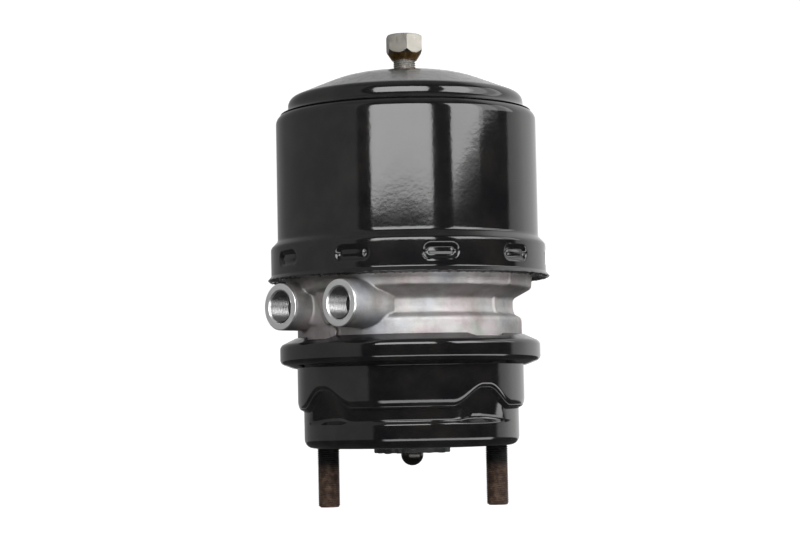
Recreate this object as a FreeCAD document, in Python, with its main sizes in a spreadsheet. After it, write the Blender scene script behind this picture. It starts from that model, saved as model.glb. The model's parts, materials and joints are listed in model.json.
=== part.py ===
"""Air brake chamber for a disc brake: a service chamber with a spring brake on top.

Millimetres, +Z up along the chamber's axis. The origin is the centre of the mounting face,
the studs stand along X, and the front of the chamber is -Y.
"""
import FreeCAD
import Part

import math
import os
import re

import Sketcher
from FreeCAD import Placement, Rotation, Vector

# Driving dimensions. Heights are above the mounting face unless their name says otherwise.
SIZES = {
    # common
    "stroke": 57.0,
    "sheet_wall": 3.0,
    "seat_gap": 0.1,
    "running_gap": 0.07,
    "soft_gap": 0.3,
    "cut_past": 1.0,
    # service housing, a pressed cup
    "cup_radius": 81.0,
    "foot_inset": 4.2,
    "foot_plan_cut": 10.8,
    "foot_height": 17.5,
    "foot_bend": 6.5,
    "neck_inset": 5.4,
    "neck_corner": 15.8,
    "cone_foot": 23.5,
    "cone_top": 35.0,
    "scoop_top": 47.0,
    "scoop_foot": 21.0,
    "scoop_inset": 5.4,
    "mouth_radius": 22.0,
    "seal_seat_depth": 0.8,
    # bolted-up joint between the cup and the centre body
    "joint_height": 67.2,
    "bead_thickness": 4.4,
    "flange_width": 7.8,
    "flange_edge": 2.4,
    "flange_rise": 4.0,
    "clamp_clearance": 1.4,
    "clamp_bend": 4.0,
    "clamp_tab_reach": 12.0,
    "clamp_gap_reach": 6.5,
    "clamp_foot_gap": 2.2,
    "clamp_tab_angle": 34.0,
    "clamp_notch_angle": 52.0,
    "clamp_notch_width": 15.0,
    # mounting studs
    "stud_edge": 16.475,
    "stud_radius": 8.0,
    "stud_reach": 42.4,
    "stud_tip": 1.5,
    "stud_neck_step": 0.5,
    "stud_head_margin": 3.5,
    "stud_head_height": 7.0,
    "stud_plate_clearance": 4.8,
    "stud_plate_thickness": 4.0,
    # seal and boot round the pushrod
    "seal_lip": 5.0,
    "seal_shoulder": 3.0,
    "seal_thickness": 4.3,
    "seal_bore": 13.0,
    "seal_bead": 2.5,
    "boot_wall": 1.2,
    "boot_top_radius": 14.0,
    "boot_foot_margin": 2.0,
    "boot_fold": 4.5,
    "boot_folds": 4,
    "boot_neck_length": 6.0,
    "boot_clip_wall": 1.4,
    # pushrod
    "rod_radius": 7.5,
    "ball_radius": 8.0,
    "ball_reach": 13.6,
    "rod_wall": 3.0,
    "ball_shank_length": 12.0,
    "plate_margin": 11.8,
    "plate_thickness": 4.0,
    "plate_lip": 3.0,
    "plate_hub_wall": 6.5,
    "plate_hub_depth": 8.0,
    "return_wire": 2.0,
    "return_foot_radius": 45.0,
    "return_head_radius": 27.0,
    "return_turns": 5.0,
    # service diaphragm
    "diaphragm_wall": 3.5,
    "ceiling_rise": 17.3,
    "cavity_wall": 3.8,
    "cavity_taper": 6.7,
    "bead_inset": 0.5,
    # centre body, a casting
    "web_height": 39.5,
    "collar_inset": 0.7,
    "collar_rise": 5.8,
    "waist_foot_inset": 5.1,
    "waist_foot_rise": 8.1,
    "waist_inset": 1.8,
    "waist_bend_rise": 4.0,
    "waist_top_rise": 20.0,
    "flare_inset": 0.8,
    "flare_rise": 27.9,
    "skirt_inset": 7.1,
    "rim_rise": 36.5,
    "rim_groove": 2.3,
    "rim_groove_slope": 0.5,
    "rim_groove_half": 5.6,
    "rim_seal_rise": 1.5,
    "rim_seal_width": 3.0,
    "rim_seal_depth": 2.6,
    "recess_wall": 8.1,
    "recess_bend": 2.5,
    "bore_clearance": 0.6,
    "guide_wall": 5.0,
    "bush_seat_rise": 10.5,
    "port_azimuth": 40.5,
    "port_stand": 8.6,
    "port_offset": 30.0,
    "port_rise": 15.0,
    "port_boss_radius": 16.5,
    "port_bore": 10.25,
    "port_depth": 17.0,
    "port_chamfer": 0.8,
    "passage_radius": 4.5,
    "drop_radius": 3.6,
    "passage_depth": 27.4,
    "port_web_stand": 6.6,
    "port_web_half_height": 13.0,
    "tag_pad_length": 28.0,
    "tag_pad_width": 9.5,
    "tag_pad_tilt": 22.0,
    "tag_pad_height": 3.5,
    "ridge_width": 2.2,
    "ridge_turn": 8.0,
    "ridge_height": 1.3,
    "ridge_root": 2.0,
    # spring housing, a pressed cap crimped over the centre body
    "cap_step": 12.6,
    "crimp_step": 5.0,
    "crimp_dimple_rise": 12.0,
    "crimp_straight": 21.8,
    "crimp_lip_drop": 2.4,
    "crimp_lip_rise": 6.5,
    "crimp_lip_flare": 2.6,
    "flare_bend": 4.0,
    "shoulder_bend": 7.0,
    "dome_rim_inset": 8.9,
    "dome_rise": 28.8,
    "dome_flat_radius": 40.5,
    "dome_drop": 17.9,
    "dome_bend": 85.0,
    "dome_rim_bend": 11.0,
    "dimple_length": 25.0,
    "dimple_width": 10.0,
    "dimple_depth": 2.0,
    "dimple_count": 10,
    # spring piston and tube
    "piston_skirt": 21.0,
    "piston_wall": 4.0,
    "piston_lift": 1.0,
    "piston_headroom": 13.6,
    "piston_clearance": 0.3,
    "dish_gap": 2.5,
    "dish_drop": 20.5,
    "dish_floor": 5.0,
    "piston_seal_rise": 4.0,
    "piston_seal_width": 5.0,
    "piston_seal_depth": 3.5,
    "piston_band_width": 5.0,
    "piston_band_depth": 1.6,
    "tube_wall": 3.5,
    "tube_shoulder": 5.0,
    "tube_stand": 8.0,
    "tube_flange": 5.0,
    "tube_flange_height": 3.0,
    "tube_mouth_gap": 1.5,
    "end_cap_thickness": 4.0,
    "end_cap_spigot": 5.0,
    "breather_radius": 5.0,
    "breather_head": 2.0,
    "breather_recess": 0.5,
    "power_wire": 6.5,
    "power_foot_gap": 0.5,
    "power_head_radius": 47.0,
    "power_turns": 4.5,
    "power_head_drop": 4.6,
    # guide and seals of the tube
    "guide_length": 16.0,
    "tube_seal_length": 6.0,
    "retainer_thickness": 2.0,
    "retainer_groove": 1.2,
    # release bolt
    "bolt_radius": 8.0,
    "bolt_travel": 9.75,
    "bolt_chamfer": 1.0,
    "bolt_tip_drop": 1.0,
    "bush_wall": 8.0,
    "bush_flange": 6.0,
    "bush_flange_height": 5.0,
    "bush_length": 21.0,
    "nut_width": 24.0,
    "nut_height": 18.4,
    "nut_cone_wall": 1.0,
    "nut_cone_steepness": 1.5,
    "nut_crown_inset": 0.5,
    "nut_crown_steepness": 0.45,
    "nut_azimuth": 43.5,
    "bolt_gap": 10.4,
    "pin_radius": 2.1,
    "pin_wall": 0.9,
    "pin_rise": 13.0,
    "pin_inset": 0.3,
    "end_ring_wall": 6.2,
    "end_ring_clearance": 1.3,
    "end_ring_height": 9.0,
    "thrust_washer_height": 3.0,
    "bolt_clear": 1.2,
}

# Sizes that follow from the driving ones.
DERIVED = {
    "foot_radius": "cup_radius - foot_inset",
    "foot_plan_corner": "foot_radius - foot_plan_cut",
    "neck_radius": "cup_radius - neck_inset",
    "neck_half_width": "foot_radius - neck_corner",
    "stud_pitch": "2 * (foot_radius - stud_edge)",
    "scoop_radius": "cup_radius - scoop_inset",
    "flange_radius": "cup_radius + flange_width",
    "clamp_radius": "flange_radius + clamp_clearance + sheet_wall",
    "stud_neck_radius": "stud_radius + stud_neck_step",
    "stud_head_radius": "stud_radius + stud_head_margin",
    "stud_plate_radius": "foot_radius - sheet_wall - stud_plate_clearance",
    "seal_radius": "mouth_radius + seal_lip",
    "boot_foot_radius": "mouth_radius + boot_foot_margin",
    "ball_shank": "rod_radius - rod_wall",
    "plate_hub_radius": "rod_radius + plate_hub_wall",
    "collar_radius": "cup_radius - collar_inset",
    "cavity_foot_radius": "collar_radius - cavity_wall",
    "cavity_roof_radius": "cavity_foot_radius - cavity_taper",
    "plate_radius": "cavity_roof_radius - plate_margin",
    "waist_foot_radius": "collar_radius - waist_foot_inset",
    "waist_radius": "waist_foot_radius - waist_inset",
    "passage_inset": "waist_radius - passage_depth",
    "port_web_reach": "waist_radius + port_web_stand",
    "port_reach": "skirt_radius + port_stand",
    "cap_radius": "cup_radius + cap_step",
    "crimp_radius": "cap_radius + crimp_step",
    "rim_radius": "crimp_inner - seat_gap",
    "skirt_radius": "rim_radius - skirt_inset",
    "flare_radius": "skirt_radius - flare_inset",
    "recess_radius": "cap_inner - recess_wall",
    "dish_radius": "recess_radius - dish_gap",
    "dome_rim_radius": "cap_radius - dome_rim_inset",
    "shoulder_height": "piston_top + piston_headroom",
    "dome_height": "shoulder_height + dome_rise",
    "power_foot_radius": "dish_radius - piston_wall - power_wire - power_foot_gap",
    "bush_seat_radius": "tube_radius + guide_wall",
    "bore_radius": "tube_radius + bore_clearance",
    "bush_radius": "bolt_radius + bush_wall",
    "nut_cone_foot": "bolt_radius + nut_cone_wall",
    "nut_crown_radius": "nut_width / 2 - nut_crown_inset",
    "end_ring_radius": "bolt_radius + end_ring_wall",
    "joint_under": "joint_height - bead_thickness / 2",
    "joint_over": "joint_height + bead_thickness / 2",
    "vee": "flange_rise / (flange_radius - collar_radius)",
    "vee_wall": "sheet_wall * 1.105",
    "vee_over": "joint_over + flange_edge + seat_gap + flange_radius * vee",
    "vee_under": "joint_under - flange_edge - seat_gap - flange_radius * vee",
    "clamp_inner": "clamp_radius - sheet_wall",
    "tab_radius": "clamp_radius - clamp_tab_reach",
    "clamp_foot_radius": "cup_radius + clamp_foot_gap",
    "plate_top_cup": "sheet_wall + stud_plate_thickness",
    "ceiling": "joint_height + ceiling_rise",
    "diaphragm_top": "ceiling - soft_gap - 2 * seat_gap",
    "rod_plate_top": "diaphragm_top - diaphragm_wall - soft_gap",
    "rod_plate_under": "rod_plate_top - plate_thickness",
    "body_floor": "ceiling + web_height",
    "collar_top": "ceiling + collar_rise",
    "waist_foot": "ceiling + waist_foot_rise",
    "waist_top": "ceiling + waist_top_rise",
    "flare_top": "ceiling + flare_rise",
    "rim_foot": "ceiling + rim_rise",
    "port_height": "ceiling + port_rise",
    "dimple_height": "rim_foot + crimp_dimple_rise",
    "cap_inner": "cap_radius - sheet_wall",
    "crimp_inner": "crimp_radius - sheet_wall",
    "crimp_cone_foot": "rim_foot + crimp_straight",
    "crimp_cone_top": "crimp_cone_foot + crimp_step",
    "mitre": "sheet_wall * 0.41421",
    "lip_foot": "rim_foot - crimp_lip_drop",
    "lip_top": "rim_foot + crimp_lip_rise - crimp_lip_drop",
    "rim_corner": "crimp_cone_foot - mitre - seat_gap * 1.41421",
    "rim_top": "rim_corner + rim_radius - cap_inner + seat_gap",
    "piston_foot": "rim_top + stroke + piston_lift",
    "piston_top": "piston_foot + piston_skirt",
    "piston_radius": "cap_inner - piston_clearance",
    "dish_under": "piston_foot - dish_drop",
    "dish_top": "dish_under + dish_floor",
    "tube_top": "dish_top + tube_stand",
    "tube_foot": "ceiling - seat_gap + end_cap_thickness",
    "end_cap_foot": "ceiling - seat_gap",
    "tube_inner": "end_ring_radius + end_ring_clearance",
    "tube_radius": "tube_inner + tube_wall",
    "washer_top": "tube_top - tube_shoulder - stroke - bolt_travel - bolt_clear",
    "washer_foot": "washer_top - thrust_washer_height",
    "bolt_foot": "washer_foot - end_ring_height",
    "nut_foot": "dome_height + bolt_gap",
    "nut_top": "nut_foot + nut_height",
    "dome_under": "dome_height - sheet_wall",
    "dome_fall": "dome_drop / (dome_rim_radius - dome_flat_radius)",
    "dome_rim_inner": "dome_rim_radius - sheet_wall",
    "dome_rim_under": "dome_height - (dome_rim_inner - dome_flat_radius) * dome_fall - sheet_wall * 1.08",
    "bush_foot": "dome_height - bush_length",
    "guide_foot": "ceiling + bush_seat_rise",
    "guide_top": "guide_foot + guide_length",
    "tube_seal_foot": "guide_top + seat_gap",
    "tube_seal_top": "tube_seal_foot + tube_seal_length",
    "retainer_foot": "tube_seal_top + seat_gap",
    "retainer_top": "retainer_foot + retainer_thickness",
    "boot_foot": "plate_top_cup + seal_bead",
    "boot_bellows_top": "boot_top - boot_neck_length",
    "ball_height": "ball_radius - ball_reach",
    "rod_foot": "ball_height + 5",
    "seal_groove_foot": "piston_foot + piston_seal_rise",
    "seal_groove_top": "seal_groove_foot + piston_seal_width",
    "band_groove_foot": "piston_top - piston_seal_rise - piston_band_width",
    "band_groove_top": "piston_top - piston_seal_rise",
    "rim_seal_foot": "rim_foot + rim_seal_rise",
    "rim_seal_top": "rim_seal_foot + rim_seal_width",
    "pin_height": "nut_foot + pin_rise",
    "boot_top": "rod_plate_under - plate_hub_depth - soft_gap",
}

# Where a sketch's lines lie before their constraints pull them into place.
START_PLACE = 50.0
START_RADIUS = 20.0

doc = FreeCAD.newDocument("brake_chamber")
sheet = doc.addObject("Spreadsheet::Sheet", "Sizes")
subparts = []


def fill_sheet():
    """Write the driving sizes as plain numbers and the derived ones as formulas."""
    rows = [(name, str(value)) for name, value in SIZES.items()]
    rows += [(name, "=" + formula) for name, formula in DERIVED.items()]
    for row, (name, content) in enumerate(rows, start=1):
        sheet.set(f"A{row}", name)
        sheet.set(f"B{row}", content)
        sheet.setAlias(f"B{row}", name)
    doc.recompute()


def mm(name):
    """The present value of a size on the sheet."""
    return float(sheet.get(name))


def bind(formula):
    """A formula of size names as an expression that reads the sheet."""
    return re.sub(r"[a-z][a-z_]*", lambda word: "Sizes." + word.group(0), formula)


def new_body(label):
    body = doc.addObject("PartDesign::Body", label)
    body.Label = label
    return body


def keep(part, turn=0.0):
    """List a finished sub-part, turned about the chamber's axis if it needs it."""
    part.Placement = Placement(Vector(), Rotation(Vector(0, 0, 1), turn))
    subparts.append(part)
    return part


def origin_feature(body, role):
    return next(item for item in body.Origin.OriginFeatures if item.Role == role)


def new_sketch(body, label, plane="XZ_Plane", offset=None):
    """A sketch on one of the body's own planes, moved along its normal by a formula."""
    sketch = body.newObject("Sketcher::SketchObject", label)
    sketch.AttachmentSupport = [(origin_feature(body, plane), "")]
    sketch.MapMode = "FlatFace"
    if offset:
        sketch.setExpression(".AttachmentOffset.Base.z", bind(offset))
    return sketch


def hold(sketch, edge, point, across, up):
    """Hold a point at two formulas measured from the sketch's origin."""
    place = sketch.getPoint(edge, point)
    for direction, axis, formula, value in (("DistanceX", -2, across, place.x),
                                            ("DistanceY", -1, up, place.y)):
        if formula == "0":
            sketch.addConstraint(Sketcher.Constraint("PointOnObject", edge, point, axis))
            continue
        rule = Sketcher.Constraint(direction, -1, 1, edge, point, value)
        row = sketch.addConstraint(rule)
        sketch.setExpression(f"Constraints[{row}]", bind(formula))


def draw_outline(sketch, corners):
    """A closed outline of straight lines through corners given as (across, up) formulas."""
    first = sketch.GeometryCount
    count = len(corners)
    start = []
    for index, (across, up) in enumerate(corners):
        angle = 2 * math.pi * index / count
        start.append(Vector(0 if across == "0" else START_PLACE + START_RADIUS * math.cos(angle),
                            0 if up == "0" else START_PLACE + START_RADIUS * math.sin(angle), 0))
    for index in range(count):
        sketch.addGeometry(Part.LineSegment(start[index], start[(index + 1) % count]), False)
    for index in range(count):
        following = first + (index + 1) % count
        sketch.addConstraint(Sketcher.Constraint("Coincident", first + index, 2, following, 1))
    for index, (across, up) in enumerate(corners):
        hold(sketch, first + index, 1, across, up)


def draw_circle(sketch, across, up, radius):
    edge = sketch.addGeometry(Part.Circle(Vector(30, 40, 0), Vector(0, 0, 1), 10), False)
    hold(sketch, edge, 3, across, up)
    row = sketch.addConstraint(Sketcher.Constraint("Radius", edge, 10))
    sketch.setExpression(f"Constraints[{row}]", bind(radius))


def draw_slot(sketch, up, length, width):
    """A stadium of a length and width, lying along the sketch's across direction."""
    half, radius = 8.0, 4.0
    right = sketch.addGeometry(
        Part.ArcOfCircle(Part.Circle(Vector(half, 50, 0), Vector(0, 0, 1), radius),
                         -math.pi / 2, math.pi / 2), False)
    left = sketch.addGeometry(
        Part.ArcOfCircle(Part.Circle(Vector(-half, 50, 0), Vector(0, 0, 1), radius),
                         math.pi / 2, 3 * math.pi / 2), False)
    top = sketch.addGeometry(
        Part.LineSegment(Vector(half, 50 + radius, 0), Vector(-half, 50 + radius, 0)), False)
    under = sketch.addGeometry(
        Part.LineSegment(Vector(-half, 50 - radius, 0), Vector(half, 50 - radius, 0)), False)
    for one, one_end, other, other_end in ((right, 2, top, 1), (top, 2, left, 1),
                                           (left, 2, under, 1), (under, 2, right, 1)):
        sketch.addConstraint(Sketcher.Constraint("Tangent", one, one_end, other, other_end))
    sketch.addConstraint(Sketcher.Constraint("Equal", right, left))
    hold(sketch, right, 3, f"(({length}) - ({width})) / 2", up)
    hold(sketch, left, 3, f"(({width}) - ({length})) / 2", up)
    row = sketch.addConstraint(Sketcher.Constraint("Radius", right, radius))
    sketch.setExpression(f"Constraints[{row}]", bind(f"({width}) / 2"))


def add_feature(body, kind, label, profile=None, **settings):
    feature = body.newObject("PartDesign::" + kind, label)
    if profile:
        feature.Profile = profile
        profile.Visibility = False
    for name, setting in settings.items():
        if isinstance(setting, str) and name not in ("Type", "SideType", "Mode"):
            feature.setExpression(name, bind(setting))
        else:
            setattr(feature, name, setting)
    return feature


def check_change(body, feature, grows):
    """Stop if a feature has added or cut nothing."""
    doc.recompute()
    before = feature.BaseFeature.Shape.Volume
    after = feature.Shape.Volume
    if (after - before) * (1 if grows else -1) <= 1e-3:
        raise RuntimeError(f"{body.Label}: {feature.Label} changes nothing")


def ring_names(shape, radius, height):
    """The names of the round edges about the axis at one radius and height."""
    names = []
    for index, edge in enumerate(shape.Edges, start=1):
        curve = edge.Curve
        if not isinstance(curve, Part.Circle):
            continue
        centre = curve.Center
        if math.hypot(centre.x, centre.y) > 1e-4:
            continue
        if abs(curve.Radius - radius) < 1e-3 and abs(centre.z - height) < 1e-3:
            names.append(f"Edge{index}")
    return names


def round_rings(body, sketch, rounds):
    """Fillet the rings turned from some corners of a profile, one radius at a time."""
    for radius, corners in rounds:
        doc.recompute()
        base = body.Tip
        names = []
        for corner in corners:
            point = sketch.getPoint(corner, 1)
            names += ring_names(base.Shape, point.x, point.y)
        fillet = body.newObject("PartDesign::Fillet", body.Label + "_round")
        fillet.Base = (base, names)
        fillet.setExpression("Radius", bind(radius))
    doc.recompute()


def turned(label, corners, rounds=()):
    """A body turned from one closed profile of (radius, height) corners."""
    body = new_body(label)
    sketch = new_sketch(body, label + "_profile")
    draw_outline(sketch, corners)
    add_feature(body, "Revolution", label + "_turn", sketch,
                ReferenceAxis=(sketch, ["V_Axis"]), Angle=360.0)
    round_rings(body, sketch, rounds)
    return body


def turn_cut(body, label, corners):
    """A groove turned out of a body from one closed profile."""
    sketch = new_sketch(body, label + "_profile")
    draw_outline(sketch, corners)
    feature = add_feature(body, "Groove", label, sketch,
                          ReferenceAxis=(sketch, ["V_Axis"]), Angle=360.0)
    check_change(body, feature, grows=False)
    return feature


def ring(label, inner, outer, foot, top, rounds=()):
    """A plain ring or bush."""
    return turned(label, [(inner, foot), (outer, foot), (outer, top), (inner, top)], rounds)


def polar_copies(body, label, originals, count):
    """Repeat features round the axis, with the copies as the body's result."""
    pattern = body.newObject("PartDesign::PolarPattern", label)
    pattern.Originals = originals
    pattern.Axis = (origin_feature(body, "Z_Axis"), [""])
    pattern.Angle = 360.0
    if isinstance(count, str):
        pattern.setExpression("Occurrences", bind(count))
    else:
        pattern.Occurrences = count
    body.Tip = pattern
    return pattern


def spring(label, wire, foot_radius, head_radius, foot, top, turns):
    """A wire, an octagon in section, wound in turns that close in from the foot to the head."""
    body = new_body(label)
    sketch = new_sketch(body, label + "_wire")
    draw_outline(sketch, [(f"{foot_radius} + {wire} * {math.cos(angle):.6f}",
                           f"{foot} + {wire} * {1 + math.sin(angle):.6f}")
                          for angle in (math.pi / 8 + math.pi / 4 * side for side in range(8))])
    coil = body.newObject("PartDesign::AdditiveHelix", label + "_coil")
    coil.Profile = sketch
    coil.ReferenceAxis = (sketch, ["V_Axis"])
    coil.Mode = "height-turns-growth"
    coil.setExpression("Height", bind(f"{top} - {foot} - 2 * {wire}"))
    coil.setExpression("Turns", bind(turns))
    coil.setExpression("Growth", bind(f"({head_radius} - {foot_radius}) / {turns}"))
    sketch.Visibility = False
    doc.recompute()
    return body


def cup_form(label, inset, height):
    """The cup's outer form, or with an inset the hollow inside it, up to a height."""
    corners = [
        ("0", inset),
        (f"foot_radius - {inset}", inset),
        (f"foot_radius - {inset}", f"cone_foot + {inset} * 0.2"),
        (f"cup_radius - {inset}", f"cone_top + {inset} * 0.2"),
        (f"cup_radius - {inset}", height),
        ("0", height),
    ]
    if inset == "0":
        corners = [(across.replace(" - 0", ""), up.replace(" + 0 * 0.2", "")) for across, up in corners]
    bend = f"foot_bend - {inset} * 0.8"
    return turned(label, corners, [(bend, [1])])


def add_cup_foot(body):
    """The squarer foot, whose rounded corners stand out under the four scoops."""
    sketch = new_sketch(body, "foot_plan", "XY_Plane", "foot_bend")
    radius = mm("foot_plan_corner")
    flat = mm("foot_radius") - radius
    arcs = []
    lines = []
    for quarter in range(4):
        turn = quarter * math.pi / 2
        across = flat if quarter in (0, 3) else -flat
        up = flat if quarter in (0, 1) else -flat
        circle = Part.Circle(Vector(across, up, 0), Vector(0, 0, 1), radius)
        arcs.append(sketch.addGeometry(Part.ArcOfCircle(circle, turn, turn + math.pi / 2), False))
    for quarter in range(4):
        start = sketch.getPoint(arcs[quarter], 2)
        end = sketch.getPoint(arcs[(quarter + 1) % 4], 1)
        lines.append(sketch.addGeometry(Part.LineSegment(start, end), False))
    for quarter in range(4):
        following = arcs[(quarter + 1) % 4]
        sketch.addConstraint(Sketcher.Constraint("Tangent", arcs[quarter], 2, lines[quarter], 1))
        sketch.addConstraint(Sketcher.Constraint("Tangent", lines[quarter], 2, following, 1))
    inset = "(foot_radius - foot_plan_corner)"
    for quarter, arc in enumerate(arcs):
        across = inset if quarter in (0, 3) else "-" + inset
        up = inset if quarter in (0, 1) else "-" + inset
        hold(sketch, arc, 3, across, up)
        row = sketch.addConstraint(Sketcher.Constraint("Radius", arc, radius))
        sketch.setExpression(f"Constraints[{row}]", bind("foot_plan_corner"))
    pad = add_feature(body, "Pad", "foot_pad", sketch, Length="foot_height - foot_bend")
    check_change(body, pad, grows=True)


def part_object(kind, label, **settings):
    """A primitive whose sizes and place follow formulas."""
    item = doc.addObject("Part::" + kind, label)
    for name, formula in settings.items():
        path = {"x": ".Placement.Base.x", "y": ".Placement.Base.y", "z": ".Placement.Base.z"}.get(name, name)
        item.setExpression(path, bind(formula))
    return item


def cut_away(label, base, tools):
    """The base less each tool in turn, stopping if one of them cuts nothing."""
    for index, tool in enumerate(tools, start=1):
        result = doc.addObject("Part::Cut", label if index == len(tools) else f"{label}_cut_{index}")
        result.Base = base
        result.Tool = tool
        doc.recompute()
        if base.Shape.Volume - result.Shape.Volume <= 1e-3:
            raise RuntimeError(f"{label}: {tool.Label} cuts nothing")
        base = result
    return base


def make_service_housing():
    """The pressed cup: foot, necked waist, four scoops and the flange under the joint."""
    outer = cup_form("cup_outside", "0", "joint_under")
    add_cup_foot(outer)
    flange = turned("cup_flange", [
        ("cup_radius - 2 * sheet_wall", "joint_under - flange_edge - flange_rise - 8"),
        ("cup_radius", "vee_under + seat_gap + cup_radius * vee"),
        ("flange_radius", "joint_under - flange_edge"),
        ("flange_radius", "joint_under"),
        ("cup_radius - 2 * sheet_wall", "joint_under"),
    ])
    hollow = cup_form("cup_hollow", "sheet_wall", "joint_under + cut_past")
    shell = doc.addObject("Part::MultiFuse", "cup_with_flange")
    shell.Shapes = [outer, flange]
    cuts = [hollow, neck_cut(), mouth_cut(), seal_seat()] + stud_holes("cup_stud_hole")
    cuts += [scoop_cut(quarter) for quarter in range(4)]
    return keep(cut_away("service_housing", shell, cuts))


def neck_cut():
    """The shallow neck between the foot and the cone, at the front and the back only."""
    height = {"Height": "cone_foot - foot_height + 1", "z": "foot_height"}
    band = part_object("Cylinder", "neck_band", Radius="cup_radius + 5", **height)
    core = part_object("Cylinder", "neck_core", Radius="neck_radius", **height)
    window = part_object("Box", "neck_window", Length="2 * neck_half_width",
                         Width="2 * cup_radius + 20", x="-neck_half_width",
                         y="-cup_radius - 10", **height)
    cut = doc.addObject("Part::Common", "neck_cut")
    cut.Base = cut_away("neck_collar", band, [core])
    cut.Tool = window
    return cut


def mouth_cut():
    """The opening in the cup's floor for the pushrod and its seal."""
    return part_object("Cylinder", "mouth_cut", Radius="mouth_radius",
                       Height="sheet_wall + 2 * cut_past", z="-cut_past")


def seal_seat():
    """The shallow seat pressed round the mouth, so that only the seal stands below the face."""
    return part_object("Cylinder", "seal_seat", Radius="seal_radius + soft_gap",
                       Height="seal_seat_depth + cut_past", z="-cut_past")


def stud_holes(label):
    return [part_object("Cylinder", label, Radius="stud_neck_radius + seat_gap",
                        Height="plate_top_cup + 2 * cut_past", x=f"{side} * stud_pitch / 2",
                        z="-cut_past")
            for side in (-1, 1)]


def scoop_cut(quarter):
    """A leaning flat that opens an arch in the cup's wall on one diagonal."""
    rise = mm("scoop_top") - mm("scoop_foot")
    lean = math.atan2(mm("cup_radius") - mm("scoop_radius"), rise)
    cut = part_object("Box", f"scoop_cut_{quarter}", Length="0.4 * cup_radius",
                      Width="1.5 * cup_radius", Height="(scoop_top - scoop_foot) * 1.6")
    inward = Placement(Vector(0, -0.75 * mm("cup_radius"), 0), Rotation())
    leaning = Placement(Vector(mm("scoop_radius"), 0, mm("scoop_foot")),
                        Rotation(Vector(0, 1, 0), math.degrees(lean)))
    around = Placement(Vector(), Rotation(Vector(0, 0, 1), 45 + 90 * quarter))
    cut.Placement = around.multiply(leaning).multiply(inward)
    return cut


def wedge(label, radius, foot, top, start, sweep):
    """A slice of a disc, from one angle over a sweep, both in degrees from +X."""
    piece = part_object("Cylinder", label, Radius=radius, Height=f"{top} - ({foot})", z=foot)
    piece.Angle = sweep
    piece.Placement.Rotation = Rotation(Vector(0, 0, 1), start)
    return piece


def make_clamp_ring():
    """The pressed V ring over both flanges, with its lips cut back between the tabs."""
    ring_body = turned("clamp_ring_vee", [
        ("clamp_radius", "vee_under + clamp_radius * vee - vee_wall"),
        ("clamp_radius", "vee_over - clamp_radius * vee + vee_wall"),
        ("tab_radius", "vee_over - tab_radius * vee + vee_wall"),
        ("tab_radius", "vee_over - tab_radius * vee"),
        ("clamp_inner", "vee_over - clamp_inner * vee"),
        ("clamp_inner", "vee_under + clamp_inner * vee"),
        ("clamp_foot_radius", "vee_under + clamp_foot_radius * vee"),
        ("clamp_foot_radius", "vee_under + clamp_foot_radius * vee - vee_wall"),
    ], [("clamp_bend", [0, 1])])
    tab = mm("clamp_tab_angle")
    cuts = [wedge(f"lip_gap_{quarter}", "clamp_radius - clamp_gap_reach", "joint_over + flange_edge",
                  "joint_over + 20", tab + 90 * quarter, 90 - 2 * tab) for quarter in range(4)]
    notch = mm("clamp_notch_width")
    for index, middle in enumerate((-90 - mm("clamp_notch_angle"), -90 + mm("clamp_notch_angle"),
                                    90 - mm("clamp_notch_angle"), 90 + mm("clamp_notch_angle"))):
        cuts.append(wedge(f"foot_notch_{index}", "clamp_inner + 0.5", "joint_under - 20",
                          "joint_under - flange_edge", middle - notch / 2, notch))
    return keep(cut_away("clamp_ring", ring_body, cuts))


def make_centre_body():
    """The cast centre body: flanges, waist, two ports, the tube's bore and both chambers."""
    body = turned("centre_body", [
        ("0", "joint_over"),
        ("flange_radius", "joint_over"),
        ("flange_radius", "joint_over + flange_edge"),
        ("collar_radius", "joint_over + flange_edge + flange_rise"),
        ("collar_radius", "collar_top"),
        ("waist_foot_radius", "waist_foot"),
        ("waist_radius", "waist_foot + waist_bend_rise"),
        ("waist_radius", "waist_top"),
        ("flare_radius", "flare_top"),
        ("skirt_radius", "rim_foot"),
        ("rim_radius", "rim_foot"),
        ("rim_radius", "rim_seal_foot"),
        ("rim_radius - rim_seal_depth", "rim_seal_foot"),
        ("rim_radius - rim_seal_depth", "rim_seal_top"),
        ("rim_radius", "rim_seal_top"),
        ("rim_radius", "dimple_height - rim_groove_half - rim_groove_slope"),
        ("rim_radius - rim_groove", "dimple_height - rim_groove_half"),
        ("rim_radius - rim_groove", "dimple_height + rim_groove_half"),
        ("rim_radius", "dimple_height + rim_groove_half + rim_groove_slope"),
        ("rim_radius", "rim_corner"),
        ("cap_inner - seat_gap", "rim_top"),
        ("0", "rim_top"),
    ])
    add_port_bosses(body)
    add_parting_ridge(body)
    turn_cut(body, "service_cavity", [
        ("0", "joint_over - cut_past"),
        ("cavity_foot_radius + cut_past * cavity_taper / ceiling_rise", "joint_over - cut_past"),
        ("cavity_foot_radius", "joint_over"),
        ("cavity_roof_radius", "ceiling"),
        ("0", "ceiling"),
    ])
    turn_cut(body, "tube_bore", [
        ("0", "ceiling - cut_past"),
        ("bore_radius", "ceiling - cut_past"),
        ("bore_radius", "guide_foot"),
        ("bush_seat_radius", "guide_foot"),
        ("bush_seat_radius", "retainer_foot"),
        ("bush_seat_radius + retainer_groove", "retainer_foot"),
        ("bush_seat_radius + retainer_groove", "retainer_top + seat_gap"),
        ("bush_seat_radius", "retainer_top + seat_gap"),
        ("bush_seat_radius", "body_floor"),
        ("recess_radius - recess_bend", "body_floor"),
        ("recess_radius", "body_floor + recess_bend"),
        ("recess_radius", "rim_top + cut_past"),
        ("0", "rim_top + cut_past"),
    ])
    cut_ports(body)
    return keep(body, -mm("port_azimuth"))


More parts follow.
